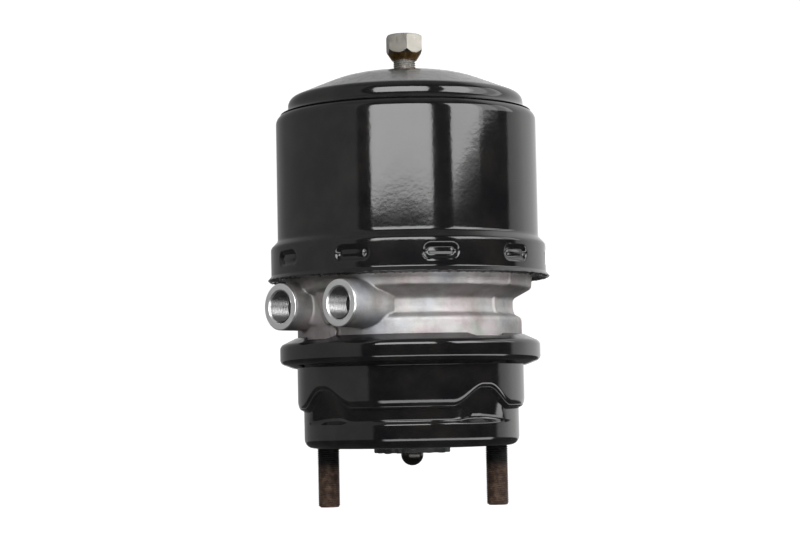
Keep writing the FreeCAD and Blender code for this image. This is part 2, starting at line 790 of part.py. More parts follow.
def add_port_bosses(body):
    """Two round bosses side by side, a web between them and a bare tag pad on the web."""
    sketch = new_sketch(body, "boss_plan")
    for side in ("-port_offset", "port_offset"):
        draw_circle(sketch, side, "port_height", "port_boss_radius")
    bosses = add_feature(body, "Pad", "port_bosses", sketch, Length="port_reach")
    check_change(body, bosses, grows=True)
    sketch = new_sketch(body, "web_plan")
    draw_outline(sketch, [
        ("-port_offset", "port_height - port_web_half_height"),
        ("port_offset", "port_height - port_web_half_height"),
        ("port_offset", "port_height + port_web_half_height"),
        ("-port_offset", "port_height + port_web_half_height"),
    ])
    web = add_feature(body, "Pad", "port_web", sketch, Length="port_web_reach")
    check_change(body, web, grows=True)
    sketch = new_sketch(body, "tag_pad_plan")
    draw_slot(sketch, "0", "tag_pad_length", "tag_pad_width")
    sketch.AttachmentOffset = Placement(Vector(0, mm("port_height"), 0),
                                        Rotation(Vector(0, 0, 1), 90 + mm("tag_pad_tilt")))
    pad = add_feature(body, "Pad", "tag_pad", sketch, Length="port_web_reach + tag_pad_height")
    check_change(body, pad, grows=True)


def add_parting_ridge(body):
    """The raised line the casting's two halves of the mould leave, square to the ports."""
    sketch = new_sketch(body, "ridge_profile")
    sketch.AttachmentOffset = Placement(Vector(), Rotation(Vector(0, 1, 0), mm("ridge_turn")))
    for side in ("", "-"):
        draw_outline(sketch, [
            (f"{side}(waist_radius - ridge_root)", "collar_top + ridge_height"),
            (f"{side}(collar_radius - ridge_height)", "collar_top + ridge_height"),
            (f"{side}(waist_foot_radius + ridge_height)", "waist_foot + ridge_height"),
            (f"{side}(waist_radius + ridge_height)", "waist_foot + waist_bend_rise"),
            (f"{side}(waist_radius + ridge_height)", "waist_top - ridge_height / 2"),
            (f"{side}(flare_radius + ridge_height)", "flare_top - ridge_height / 2"),
            (f"{side}(skirt_radius + ridge_height)", "rim_foot - ridge_height / 2"),
            (f"{side}(waist_radius - ridge_root)", "rim_foot - ridge_height / 2"),
        ])
    ridge = add_feature(body, "Pad", "parting_ridge", sketch, Length="ridge_width",
                        SideType="Symmetric")
    check_change(body, ridge, grows=True)


def cut_ports(body):
    """The two threaded bores with their drilled passages into the two chambers."""
    sides = ("-port_offset", "port_offset")
    round_ports = body.Tip
    around = 2 * math.pi * mm("port_boss_radius")
    edges = [f"Edge{index}" for index, edge in enumerate(round_ports.Shape.Edges, start=1)
             if abs(edge.CenterOfMass.y + mm("port_reach")) < 1e-3 and abs(edge.Length - around) < 1]
    chamfer = body.newObject("PartDesign::Chamfer", "port_edges")
    chamfer.Base = (round_ports, edges)
    chamfer.setExpression("Size", bind("port_chamfer"))
    check_change(body, chamfer, grows=False)
    for label, plane_offset, radius, depth in (
            ("port_bores", "port_reach", "port_bore", "port_depth"),
            ("port_passages", "port_reach - port_depth", "passage_radius",
             "port_reach - port_depth - passage_inset + passage_radius")):
        sketch = new_sketch(body, label + "_plan", "XZ_Plane", plane_offset)
        for side in sides:
            draw_circle(sketch, side, "port_height", radius)
        bores = add_feature(body, "Pocket", label, sketch, Length=depth)
        check_change(body, bores, grows=False)
    for label, side, low, high in (
            ("service_drop", sides[0], "ceiling - cut_past", "port_height"),
            ("spring_rise", sides[1], "port_height", "body_floor + cut_past")):
        sketch = new_sketch(body, label + "_plan", "XY_Plane", low)
        draw_circle(sketch, side, "-passage_inset", "drop_radius")
        drop = add_feature(body, "Pocket", label, sketch, Length=f"{high} - ({low})", Reversed=True)
        check_change(body, drop, grows=False)


def make_spring_housing():
    """The pressed cap: crimped skirt with its dimples, shoulder and dome."""
    body = turned("spring_housing", [
        ("crimp_inner", "lip_top"),
        ("crimp_inner + crimp_lip_flare", "lip_foot"),
        ("crimp_radius + crimp_lip_flare", "lip_foot + 1.2"),
        ("crimp_radius", "lip_top + 1"),
        ("crimp_radius", "crimp_cone_foot"),
        ("cap_radius", "crimp_cone_top"),
        ("cap_radius", "shoulder_height"),
        ("dome_rim_radius", "shoulder_height"),
        ("dome_rim_radius", "dome_height - dome_drop"),
        ("dome_flat_radius", "dome_height"),
        ("bush_radius", "dome_height"),
        ("bush_radius", "dome_under"),
        ("dome_flat_radius - 0.6", "dome_under"),
        ("dome_rim_inner", "dome_rim_under"),
        ("dome_rim_inner", "shoulder_height - sheet_wall"),
        ("cap_inner", "shoulder_height - sheet_wall"),
        ("cap_inner", "crimp_cone_top - mitre"),
        ("crimp_inner", "crimp_cone_foot - mitre"),
    ], [("dome_bend", [9]), ("dome_bend - sheet_wall", [12]), ("dome_rim_bend", [8]),
        ("dome_rim_bend - sheet_wall", [13]), ("shoulder_bend", [6]),
        ("shoulder_bend - sheet_wall", [15]), ("flare_bend", [4, 5])])
    sketch = new_sketch(body, "dimple_boss_plan", "XZ_Plane", "crimp_inner - dimple_depth")
    draw_slot(sketch, "dimple_height", "dimple_length", "dimple_width")
    boss = add_feature(body, "Pad", "dimple_boss", sketch, Length="dimple_depth + sheet_wall / 2")
    check_change(body, boss, grows=True)
    sketch = new_sketch(body, "dimple_plan", "XZ_Plane", "crimp_radius + 1")
    draw_slot(sketch, "dimple_height", "dimple_length - 1", "dimple_width - 1")
    dimple = add_feature(body, "Pocket", "dimple", sketch, Length="dimple_depth + 1")
    check_change(body, dimple, grows=False)
    polar_copies(body, "dimples", [boss, dimple], "dimple_count")
    return keep(body, 180 / mm("dimple_count"))


def make_release_bolt():
    """The caging bolt with its pinned nut, its end ring and the bush it screws through."""
    keep(turned("release_bush", [
        ("bolt_radius + running_gap", "bush_foot"),
        ("bush_radius - seat_gap", "bush_foot"),
        ("bush_radius - seat_gap", "dome_under - bush_flange_height"),
        ("bush_radius + bush_flange", "dome_under - bush_flange_height"),
        ("bush_radius + bush_flange", "dome_under - seat_gap"),
        ("bush_radius - seat_gap", "dome_under - seat_gap"),
        ("bush_radius - seat_gap", "dome_height"),
        ("bolt_radius + running_gap", "dome_height"),
    ]))
    bolt = turned("release_bolt", [
        ("0", "bolt_foot"),
        ("bolt_radius - bolt_chamfer", "bolt_foot"),
        ("bolt_radius", "bolt_foot + bolt_chamfer"),
        ("bolt_radius", "nut_top - bolt_tip_drop - bolt_chamfer"),
        ("bolt_radius - bolt_chamfer", "nut_top - bolt_tip_drop"),
        ("0", "nut_top - bolt_tip_drop"),
    ])
    nut = new_body("release_nut")
    hexagon = nut.newObject("PartDesign::AdditivePrism", "nut_hexagon")
    hexagon.AttachmentSupport = [(origin_feature(nut, "XY_Plane"), "")]
    hexagon.MapMode = "FlatFace"
    hexagon.setExpression(".AttachmentOffset.Base.z", bind("nut_foot"))
    hexagon.Polygon = 6
    hexagon.setExpression("Circumradius", bind("nut_width / 1.7320508"))
    hexagon.setExpression("Height", bind("nut_height"))
    doc.recompute()
    turn_cut(nut, "nut_cone", [
        ("nut_cone_foot", "nut_foot - 0.01"),
        ("nut_width", "nut_foot - 0.01"),
        ("nut_width", "nut_foot + (nut_width - nut_cone_foot) * nut_cone_steepness"),
    ])
    turn_cut(nut, "nut_crown", [
        ("nut_crown_radius", "nut_top + 0.01"),
        ("nut_width", "nut_top + 0.01"),
        ("nut_width", "nut_top - (nut_width - nut_crown_radius) * nut_crown_steepness"),
    ])
    turn_cut(nut, "nut_bore", [
        ("0", "nut_foot - cut_past"),
        ("bolt_radius + seat_gap", "nut_foot - cut_past"),
        ("bolt_radius + seat_gap", "nut_top - bolt_tip_drop"),
        ("0", "nut_top - bolt_tip_drop"),
    ])
    for item in (nut, bolt):
        sketch = new_sketch(item, item.Label + "_pin_plan")
        draw_circle(sketch, "0", "pin_height", "pin_radius + seat_gap / 2")
        hole = add_feature(item, "Pocket", item.Label + "_pin_hole", sketch, Length="nut_width * 2",
                           SideType="Symmetric")
        check_change(item, hole, grows=False)
    pin = new_body("roll_pin")
    sketch = new_sketch(pin, "pin_section")
    draw_circle(sketch, "0", "pin_height", "pin_radius")
    draw_circle(sketch, "0", "pin_height", "pin_radius - pin_wall")
    add_feature(pin, "Pad", "pin_length", sketch, Length="nut_width - 2 * pin_inset", SideType="Symmetric")
    end_ring = ring("bolt_end_ring", "bolt_radius + seat_gap", "end_ring_radius", "bolt_foot",
                    "washer_foot")
    for item in (bolt, nut, pin, end_ring):
        keep(item, mm("nut_azimuth"))
    keep(ring("thrust_washer", "bolt_radius + running_gap", "end_ring_radius",
              "washer_foot + seat_gap / 2", "washer_top"))


def make_spring_piston():
    """The dished piston, its ring seals, the tube below it and the valve in the tube's end."""
    keep(turned("spring_piston", [
        ("tube_radius + seat_gap", "dish_under"),
        ("dish_radius", "dish_under"),
        ("dish_radius", "piston_foot"),
        ("piston_radius", "piston_foot"),
        ("piston_radius", "seal_groove_foot"),
        ("piston_radius - piston_seal_depth", "seal_groove_foot"),
        ("piston_radius - piston_seal_depth", "seal_groove_top"),
        ("piston_radius", "seal_groove_top"),
        ("piston_radius", "band_groove_foot"),
        ("piston_radius - piston_band_depth", "band_groove_foot"),
        ("piston_radius - piston_band_depth", "band_groove_top"),
        ("piston_radius", "band_groove_top"),
        ("piston_radius", "piston_top"),
        ("dish_radius - piston_wall", "piston_top"),
        ("dish_radius - piston_wall", "dish_top"),
        ("tube_radius + seat_gap", "dish_top"),
    ], [("piston_wall", [1])]))
    keep(ring("piston_seal", "piston_radius - piston_seal_depth + seat_gap", "cap_inner - seat_gap",
              "seal_groove_foot + seat_gap", "seal_groove_top - seat_gap"))
    keep(ring("piston_guide_band", "piston_radius - piston_band_depth + seat_gap",
              "cap_inner - seat_gap", "band_groove_foot + seat_gap", "band_groove_top - seat_gap"))
    keep(turned("piston_tube", [
        ("tube_inner", "tube_foot"),
        ("tube_radius", "tube_foot"),
        ("tube_radius", "dish_top + seat_gap"),
        ("tube_radius + tube_flange", "dish_top + seat_gap"),
        ("tube_radius + tube_flange", "dish_top + tube_flange_height"),
        ("tube_radius", "dish_top + tube_flange_height"),
        ("tube_radius", "tube_top"),
        ("bolt_radius + tube_mouth_gap", "tube_top"),
        ("bolt_radius + tube_mouth_gap", "tube_top - tube_shoulder"),
        ("tube_inner", "tube_top - tube_shoulder"),
    ]))
    keep(turned("tube_end_cap", [
        ("breather_radius + seat_gap", "end_cap_foot"),
        ("tube_radius", "end_cap_foot"),
        ("tube_radius", "tube_foot"),
        ("tube_inner - seat_gap", "tube_foot"),
        ("tube_inner - seat_gap", "tube_foot + end_cap_spigot"),
        ("breather_radius + seat_gap", "tube_foot + end_cap_spigot"),
    ]))
    keep(turned("breather_valve", [
        ("0", "end_cap_foot + breather_recess"),
        ("breather_radius", "end_cap_foot + breather_recess"),
        ("breather_radius", "tube_foot + end_cap_spigot"),
        ("breather_radius + breather_head", "tube_foot + end_cap_spigot"),
        ("breather_radius + breather_head", "tube_foot + end_cap_spigot + breather_head"),
        ("0", "tube_foot + end_cap_spigot + breather_head"),
    ]))


def make_tube_guide():
    """The bush, lip seal and retaining ring that the tube runs through in the centre body."""
    seat = "bush_seat_radius - seat_gap"
    keep(ring("tube_guide_bush", "tube_radius + running_gap", seat, "guide_foot", "guide_top"))
    keep(ring("tube_seal", "tube_radius + seat_gap", seat, "tube_seal_foot", "tube_seal_top"))
    keep(ring("tube_retaining_ring", "tube_radius + bore_clearance",
              "bush_seat_radius + retainer_groove - seat_gap", "retainer_foot + seat_gap",
              "retainer_top"))
    keep(ring("housing_seal", "rim_radius - rim_seal_depth + seat_gap", "crimp_inner - seat_gap",
              "rim_seal_foot + seat_gap", "rim_seal_top - seat_gap"))


def make_service_diaphragm():
    """The rubber diaphragm, held by its bead in the joint and domed up at rest."""
    keep(turned("service_diaphragm", [
        ("flange_radius - bead_inset", "joint_under"),
        ("flange_radius - bead_inset", "joint_over"),
        ("cavity_foot_radius - soft_gap", "joint_over"),
        ("cavity_roof_radius - soft_gap - 2 * seat_gap", "diaphragm_top"),
        ("0", "diaphragm_top"),
        ("0", "diaphragm_top - diaphragm_wall"),
        ("cavity_roof_radius - diaphragm_wall", "diaphragm_top - diaphragm_wall"),
        ("cavity_foot_radius - diaphragm_wall", "joint_under"),
    ]))


def make_pushrod():
    """The pushrod with its plate and the ball at its end."""
    keep(turned("pushrod_plate", [
        ("rod_radius + seat_gap", "rod_plate_under - plate_hub_depth"),
        ("plate_hub_radius", "rod_plate_under - plate_hub_depth"),
        ("plate_hub_radius", "rod_plate_under"),
        ("plate_radius", "rod_plate_under"),
        ("plate_radius", "rod_plate_top"),
        ("rod_radius + seat_gap", "rod_plate_top"),
    ], [("plate_lip", [4])]))
    keep(turned("pushrod", [
        ("ball_shank + seat_gap", "rod_foot"),
        ("rod_radius", "rod_foot"),
        ("rod_radius", "rod_plate_top"),
        ("0", "rod_plate_top"),
        ("0", "rod_foot + ball_shank_length + 1"),
        ("ball_shank + seat_gap", "rod_foot + ball_shank_length + 1"),
    ]))
    ball = part_object("Sphere", "ball", Radius="ball_radius", z="ball_height")
    ball.Angle2 = math.degrees(math.asin((mm("rod_foot") - mm("ball_height")) / mm("ball_radius")))
    shank = part_object("Cylinder", "ball_shank", Radius="ball_shank",
                        Height="ball_shank_length + 1", z="rod_foot - 1")
    ball_end = doc.addObject("Part::Fuse", "ball_end")
    ball_end.Base = ball
    ball_end.Tool = shank
    keep(ball_end)


def make_boot_and_seal():
    """The seal round the mouth and the bellows boot up to the pushrod's plate."""
    keep(turned("mouth_seal", [
        ("seal_bore", "-seal_thickness"),
        ("seal_radius", "-seal_thickness"),
        ("seal_radius", "seal_seat_depth"),
        ("mouth_radius - seat_gap", "seal_seat_depth"),
        ("mouth_radius - seat_gap", "plate_top_cup"),
        ("mouth_radius + seal_shoulder", "plate_top_cup"),
        ("mouth_radius + seal_shoulder", "boot_foot"),
        ("seal_bore", "boot_foot"),
    ]))
    steps = 2 * SIZES["boot_folds"]
    outside = []
    for step in range(steps + 1):
        share = f"{step} / (2 * boot_folds)"
        tuck = " - boot_fold" if step % 2 else ""
        radius = f"boot_foot_radius + (boot_top_radius - boot_foot_radius) * {share}{tuck}"
        outside.append((radius, f"boot_foot + (boot_bellows_top - boot_foot) * {share}"))
    inside = [(radius + " - boot_wall", height) for radius, height in reversed(outside[:-1])]
    neck = [
        ("rod_radius + soft_gap + boot_wall", "boot_bellows_top"),
        ("rod_radius + soft_gap + boot_wall", "boot_top"),
        ("rod_radius + soft_gap", "boot_top"),
        ("rod_radius + soft_gap", "boot_bellows_top - boot_wall"),
        ("boot_top_radius - boot_wall", "boot_bellows_top - boot_wall"),
    ]
    keep(turned("dust_boot", outside + neck + inside))
    keep(ring("boot_clip", "rod_radius + 2 * soft_gap + boot_wall",
              "rod_radius + 2 * soft_gap + boot_wall + boot_clip_wall",
              "boot_top - 0.7 * boot_neck_length", "boot_top - 0.2 * boot_neck_length"))


def make_studs():
    """The plate inside the cup's floor and the two studs whose heads it carries."""
    plate = ring("stud_plate_blank", "mouth_radius", "stud_plate_radius", "sheet_wall", "plate_top_cup")
    keep(cut_away("stud_plate", plate, stud_holes("plate_stud_hole")))
    studs = []
    for side in (-1, 1):
        place = {"x": f"{side} * stud_pitch / 2"}
        thread = part_object("Cylinder", "stud_thread", Radius="stud_radius",
                             Height="stud_reach - stud_tip", z="stud_tip - stud_reach", **place)
        neck = part_object("Cylinder", "stud_neck", Radius="stud_neck_radius",
                           Height="plate_top_cup", **place)
        tip = part_object("Cone", "stud_tip", Radius1="stud_radius - stud_tip", Radius2="stud_radius",
                          Height="stud_tip", z="-stud_reach", **place)
        head = part_object("Prism", "stud_head", Circumradius="stud_head_radius",
                           Height="stud_head_height", z="plate_top_cup", **place)
        head.Polygon = 6
        stud = doc.addObject("Part::MultiFuse", "stud")
        stud.Shapes = [thread, neck, tip, head]
        studs.append(stud)
    group = doc.addObject("Part::Compound", "mounting_studs")
    group.Links = studs
    keep(group)


def make_springs():
    """The power spring above the piston and the return spring under the pushrod's plate."""
    keep(spring("power_spring", "power_wire", "power_foot_radius", "power_head_radius",
                "dish_top + seat_gap", "dome_under - power_head_drop", "power_turns"))
    keep(spring("return_spring", "return_wire", "return_foot_radius", "return_head_radius",
                "plate_top_cup + seat_gap", "rod_plate_under - soft_gap", "return_turns"))


def write_parts():
    """Check every object, then write each sub-part as a STEP file named after its label."""
    doc.recompute()
    for item in doc.Objects:
        if "Invalid" in item.State or "Error" in item.State:
            raise RuntimeError(f"{item.Label} failed: {item.State}")
    for part in subparts:
        if part.Shape.isNull() or not part.Shape.isValid():
            raise RuntimeError(f"{part.Label} has no valid shape")
    os.makedirs("parts", exist_ok=True)
    for part in subparts:
        part.Shape.exportStep(f"parts/{part.Label}.step")


fill_sheet()
make_service_housing()
make_studs()
make_boot_and_seal()
make_pushrod()
make_service_diaphragm()
make_clamp_ring()
make_centre_body()
make_tube_guide()
make_spring_housing()
make_spring_piston()
make_release_bolt()
make_springs()
write_parts()
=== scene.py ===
"""Dresses the air brake chamber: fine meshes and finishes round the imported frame."""

import json
import math

import bmesh
import bpy
import numpy as np
from bpy.props import FloatProperty, FloatVectorProperty, IntProperty, PointerProperty
from mathutils import Matrix, Vector


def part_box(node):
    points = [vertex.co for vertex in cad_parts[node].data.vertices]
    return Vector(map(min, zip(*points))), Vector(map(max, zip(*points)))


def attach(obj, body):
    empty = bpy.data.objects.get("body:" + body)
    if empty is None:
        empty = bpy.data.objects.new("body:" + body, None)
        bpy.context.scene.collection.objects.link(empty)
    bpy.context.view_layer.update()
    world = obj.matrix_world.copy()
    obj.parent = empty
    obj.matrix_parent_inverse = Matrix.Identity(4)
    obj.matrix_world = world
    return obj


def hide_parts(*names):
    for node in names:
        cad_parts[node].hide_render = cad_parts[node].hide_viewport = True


bl_info = {
    "name": "Brake chamber looks",
    "version": (1, 0, 0),
    "blender": (4, 5, 0),
    "location": "3D View > Sidebar > Chamber",
    "description": "Builds the brake chamber's visible pieces, finishes and studio",
    "category": "Object",
}

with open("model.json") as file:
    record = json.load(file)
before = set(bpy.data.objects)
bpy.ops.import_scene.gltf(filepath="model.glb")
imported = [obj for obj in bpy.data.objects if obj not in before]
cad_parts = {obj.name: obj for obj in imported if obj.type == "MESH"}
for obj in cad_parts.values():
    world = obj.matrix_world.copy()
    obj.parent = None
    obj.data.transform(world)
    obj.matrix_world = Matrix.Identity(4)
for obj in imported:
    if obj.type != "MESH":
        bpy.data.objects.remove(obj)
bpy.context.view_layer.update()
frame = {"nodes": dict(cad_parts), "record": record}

MM = 0.001
IMAGE_WIDTH = 800
SENSOR_WIDTH = 36.0

# The room that the coat reflects: its walls as (angle, brightness), a ceiling, a dark floor and a
# bright table in front. Angles are degrees from the camera, towards the picture's right. A height is
# that of a direction: 0 is level, 1 straight up and -1 straight down.
ROOM_WALLS = [(-180, 0.45), (-165, 0.18), (-135, 0.13), (-80, 0.2), (-44, 0.22), (-42, 0.03), (99, 0.03),
              (101, 0.42), (125, 0.6), (160, 0.45), (180, 0.45)]
WALL_LIGHT = 2.0
CEILING_LIGHT = 0.25
CEILING_HEIGHTS = (0.74, 0.92)
FLOOR_LIGHT = 0.07
TABLE_LIGHT = 4.2
TABLE_MIDDLE = 31
TABLE_ENDS = (60, 66)
TABLE_FOOT = (-0.40, -0.34)
TABLE_TOP = (-0.15, -0.10)

# Each light panel: its name, middle and half width in degrees as above, lower and upper edge in
# metres, share of the panel light and tilt in degrees.
PANEL_DISTANCE = 1.2
LIGHT_PANELS = [
    ("front_panel", -4.0, 25.8, 0.28, 1.0, 1.0, 0.0),
    ("side_panel", 50.0, 13.0, 0.295, 1.1, 0.2, 6.0),
    ("side_panel", 52.0, 15.0, 0.335, 1.1, 0.24, 6.0),
    ("side_panel", 60.5, 23.5, 0.355, 1.1, 0.18, 6.0),
    ("side_panel", 71.0, 34.0, 0.385, 1.1, 0.26, 6.0),
]

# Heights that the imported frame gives.
DOME_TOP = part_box("release_bush")[1].z
CAP_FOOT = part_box("spring_housing")[0].z
CUP_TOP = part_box("service_housing")[1].z
STUD_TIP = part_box("mounting_studs")[0].z
NUT_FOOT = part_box("release_nut")[0].z
NUT_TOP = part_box("release_nut")[1].z
BODY_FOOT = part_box("centre_body")[0].z
BODY_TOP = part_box("centre_body")[1].z


def length(default, description):
    """A length in millimetres as a property in metres."""
    return FloatProperty(name=description.split(",")[0].capitalize(), description=description,
                         default=default * MM, unit="LENGTH", subtype="DISTANCE", precision=4)


def angle(default, description):
    """An angle in degrees as a property in radians."""
    return FloatProperty(name=description.split(",")[0].capitalize(), description=description,
                         default=math.radians(default), subtype="ANGLE")


def colour(default, description):
    """A colour as a property."""
    return FloatVectorProperty(name=description.split(",")[0].capitalize(), description=description,
                               default=default, size=3, min=0, max=1, subtype="COLOR")


class ChamberSizes(bpy.types.PropertyGroup):
    """Sizes of the dressed pieces: the frame's own, or moved a little towards the photograph."""
    sheet: length(3.0, "sheet, wall of the pressed shells")
    cap_radius: length(93.6, "cap radius, outside of the spring housing")
    crimp_radius: length(98.6, "crimp radius, outside of the crimped skirt")
    crimp_cone_foot: length(142.8, "crimp cone foot, height where the skirt starts to narrow")
    lip_flare: length(2.6, "lip flare, how far the sheared lip stands out")
    lip_height: length(3.2, "lip height, from the sheared edge to the skirt")
    shoulder: length(239.016, "shoulder, height of the cap's shoulder")
    dome_rim: length(84.7, "dome rim, radius of the dome's upright rim")
    dome_flat: length(40.5, "dome flat, radius where the dome's cone starts")
    dome_drop: length(17.9, "dome drop, fall of the dome's cone")
    dimple_height: length(133.0, "dimple height, middle of the crimped dimples")
    dimple_length: length(25.0, "dimple length, along the skirt")
    dimple_width: length(10.0, "dimple width, up the skirt")
    dimple_depth: length(2.0, "dimple depth, into the body's groove")
    dimples: IntProperty(name="Dimples", description="dimples round the skirt", default=10, min=3)
    cup_radius: length(81.0, "cup radius, outside of the service housing")
    foot_radius: length(76.8, "foot radius, outside of the cup's foot")
    foot_corner: length(71.7, "foot corner, radius of the foot plan's corners")
    foot_height: length(17.5, "foot height, top of the cup's foot")
    foot_bend: length(6.5, "foot bend, round edge under the cup")
    neck_radius: length(74.8, "neck radius, of the shallow neck over the foot")
    neck_half: length(61.0, "neck half width, of the shallow neck")
    cone_foot: length(26.2, "cone foot, height where the cup widens")
    cone_top: length(30.8, "cone top, height of the cup's full radius")
    cup_straight: length(58.0, "cup straight, height over which nothing is pressed in")
    scoop_turn: angle(45.0, "scoop turn, of each scoop's middle from the front or back")
    scoop_half: angle(19.5, "scoop half width, from a scoop's middle to its side")
    scoop_rise: length(11.8, "scoop rise, of the cone's top over a scoop")
    scoop_inner: length(13.3, "scoop inner rise, of the cone's foot over a scoop")
    scoop_depth: length(5.5, "scoop depth, of a scoop's foot behind the neck")
    mouth_radius: length(22.0, "mouth radius, opening for the pushrod")
    flange_radius: length(88.8, "flange radius, of both clamped flanges")
    flange_edge: length(2.4, "flange edge, thickness at the flange's rim")
    flange_rise: length(4.0, "flange rise, slope of the flange's back")
    joint_height: length(67.2, "joint height, middle of the clamped joint")
    bead: length(4.4, "bead, thickness of the diaphragm's rim")
    clamp_radius: length(93.2, "clamp radius, outside of the clamp ring")
    clamp_tab: length(12.0, "clamp tab, reach of the upper lip's tabs")
    clamp_gap: length(6.5, "clamp gap, reach of the lip between tabs")
    clamp_notch: length(2.5, "clamp notch, reach of the lower lip at a notch")
    clamp_bend: length(4.2, "clamp bend, outer corners of the clamp ring")
    collar_radius: length(80.3, "collar radius, of the centre body's collar")
    ceiling: length(84.5, "ceiling, top of the service cavity")
    collar_rise: length(5.4, "collar rise, of the collar's top over the ceiling")
    waist_radius: length(74.2, "waist radius, of the centre body's waist")
    waist_foot_radius: length(75.2, "waist foot radius, under the waist")
    waist_foot_rise: length(8.1, "waist foot rise, over the ceiling")
    waist_low_rise: length(12.1, "waist low rise, of the waist's lower bend over the ceiling")
    waist_high_rise: length(19.2, "waist high rise, of the waist's upper bend over the ceiling")
    flare_radius: length(87.6, "flare radius, over the waist")
    flare_rise: length(26.4, "flare rise, of the flare's edge over the ceiling")
    skirt_radius: length(88.4, "skirt radius, under the rim")
    rim_radius: length(95.5, "rim radius, of the centre body's rim")
    rim_rise: length(36.5, "rim rise, of the rim's underside over the ceiling")
    deck_rise: length(39.5, "deck rise, of the spring chamber's floor over the ceiling")
    casting_bore: length(66.0, "casting bore, radius where the casting meets its machined inside")
    skin_voxel: length(0.75, "skin voxel, size of the casting's mesh")
    port_offset: length(30.0, "port offset, of each port from their middle")
    port_height: length(99.5, "port height, of both ports")
    port_reach: length(97.0, "port reach, of the port faces")
    port_radius: length(16.5, "port radius, outside of a port boss")
    port_bore: length(10.25, "port bore, minor radius of the ports' thread")
    port_depth: length(17.0, "port depth, of the threaded bore")
    port_azimuth: angle(40.5, "port azimuth, of the ports left of the front")
    web_half: length(13.0, "web half height, of the web between the ports")
    pad_radius: length(4.75, "pad radius, at the ends of the tag pad")
    pad_half: length(9.25, "pad half length, between the middle and the end's centre")
    pad_reach: length(83.5, "pad reach, of the tag pad's face")
    pad_tilt: angle(22.0, "pad tilt, of the tag pad from upright")
    lug_radius: length(3.7, "lug radius, of the small lug under the right port")
    lug_reach: length(83.6, "lug reach, of the lug's end")
    lug_height: length(80.6, "lug height, of the lug's middle")
    lug_turn: angle(35.0, "lug turn, left of the front")
    ridge_turn: angle(8.0, "ridge turn, of the casting's parting line")
    ridge_lift: length(1.2, "ridge lift, of the parting line")
    ridge_half: length(1.1, "ridge half width, of the parting line")
    stud_pitch: length(120.65, "stud pitch, between the studs")
    stud_radius: length(8.0, "stud radius, outside of the studs' thread")
    thread_pitch: length(1.5, "thread pitch, of every thread")
    thread_depth: length(0.75, "thread depth, of every thread")
    nut_width: length(24.0, "nut width, across the nut's flats")
    nut_azimuth: angle(43.5, "nut azimuth, of the nut's pin")


class ChamberFinish(bpy.types.PropertyGroup):
    """Colours of the finishes."""
    coat: colour((0.003, 0.003, 0.0035), "coat, black stove enamel")
    casting: colour((0.45, 0.445, 0.435), "casting, as-cast aluminium")
    casting_stain: colour((0.3, 0.288, 0.27), "casting stain, oxide in the casting's skin")
    machined: colour((0.5, 0.5, 0.5), "machined, turned aluminium")
    stud: colour((0.05, 0.03, 0.022), "stud, oiled dark steel")
    zinc: colour((0.27, 0.258, 0.23), "zinc, plate on the nut's flats")
    zinc_gold: colour((0.42, 0.25, 0.09), "zinc gold, plate on the nut's cone")
    rubber: colour((0.018, 0.018, 0.018), "rubber, seals and diaphragm")
    nylon: colour((0.7, 0.68, 0.6), "nylon, bushes and guide band")
    steel: colour((0.45, 0.45, 0.45), "steel, plain inner pieces")


class ChamberStudio(bpy.types.PropertyGroup):
    """Where the camera and the light panels stand."""
    floor_gap: length(40.0, "floor gap, under the studs' tips, where the pushrod comes out")
    camera_distance: length(1500.0, "camera distance, from the chamber's axis")
    camera_height: length(32.0, "camera height, over the mounting face")
    camera_azimuth: angle(4.8, "camera azimuth, right of the front")
    camera_turn: angle(0.233, "camera turn, left of the chamber's axis")
    camera_pitch: angle(3.7, "camera pitch, up from level")
    camera_roll: angle(1.15, "camera roll, clockwise")
    focal_pixels: FloatProperty(name="Focal pixels", description="focal length in image pixels",
                                default=2090.0)
    panel_light: FloatProperty(name="Panel light", description="brightness of the light panels",
                               default=7.0)


def sizes():
    """The scene's chamber sizes."""
    return bpy.context.scene.chamber_sizes


def finish():
    """The scene's colours of the finishes."""
    return bpy.context.scene.chamber_finish


def studio():
    """The scene's camera and light settings."""
    return bpy.context.scene.chamber_studio


def rounded(corners, steps=7):
    """Points along an outline of (radius, height, bend) corners, with each bend as an arc."""
    points = []
    count = len(corners)
    for index, (across, up, bend) in enumerate(corners):
        here = Vector((across, up))
        if bend <= 0:
            points.append(here)
            continue
        back = (Vector(corners[index - 1][:2]) - here).normalized()
        ahead = (Vector(corners[(index + 1) % count][:2]) - here).normalized()
        half = back.angle(ahead) / 2
        reach = bend / math.tan(half)
        centre = here + (back + ahead).normalized() * (bend / math.sin(half))
        start = here + back * reach - centre
        sweep = start.angle_signed(here + ahead * reach - centre)
        for step in range(steps + 1):
            points.append(centre + Matrix.Rotation(-sweep * step / steps, 2) @ start)
    return points


def divided(points, spacing):
    """The same closed outline with no stretch longer than the spacing."""
    result = []
    for start, end in zip(points, points[1:] + points[:1]):
        pieces = max(1, math.ceil((end - start).length / spacing))
        result += [start.lerp(end, step / pieces) for step in range(pieces)]
    return result


def mesh_from(name, vertices, faces, smooth=True):
    """A new object in the scene, made of these vertices and faces."""
    mesh = bpy.data.meshes.new(name)
    mesh.from_pydata(vertices, [], faces)
    mesh.validate()
    mesh.update()
    piece = bpy.data.objects.new(name, mesh)
    bpy.context.scene.collection.objects.link(piece)
    if smooth:
        mesh.polygons.foreach_set("use_smooth", [True] * len(mesh.polygons))
    return piece


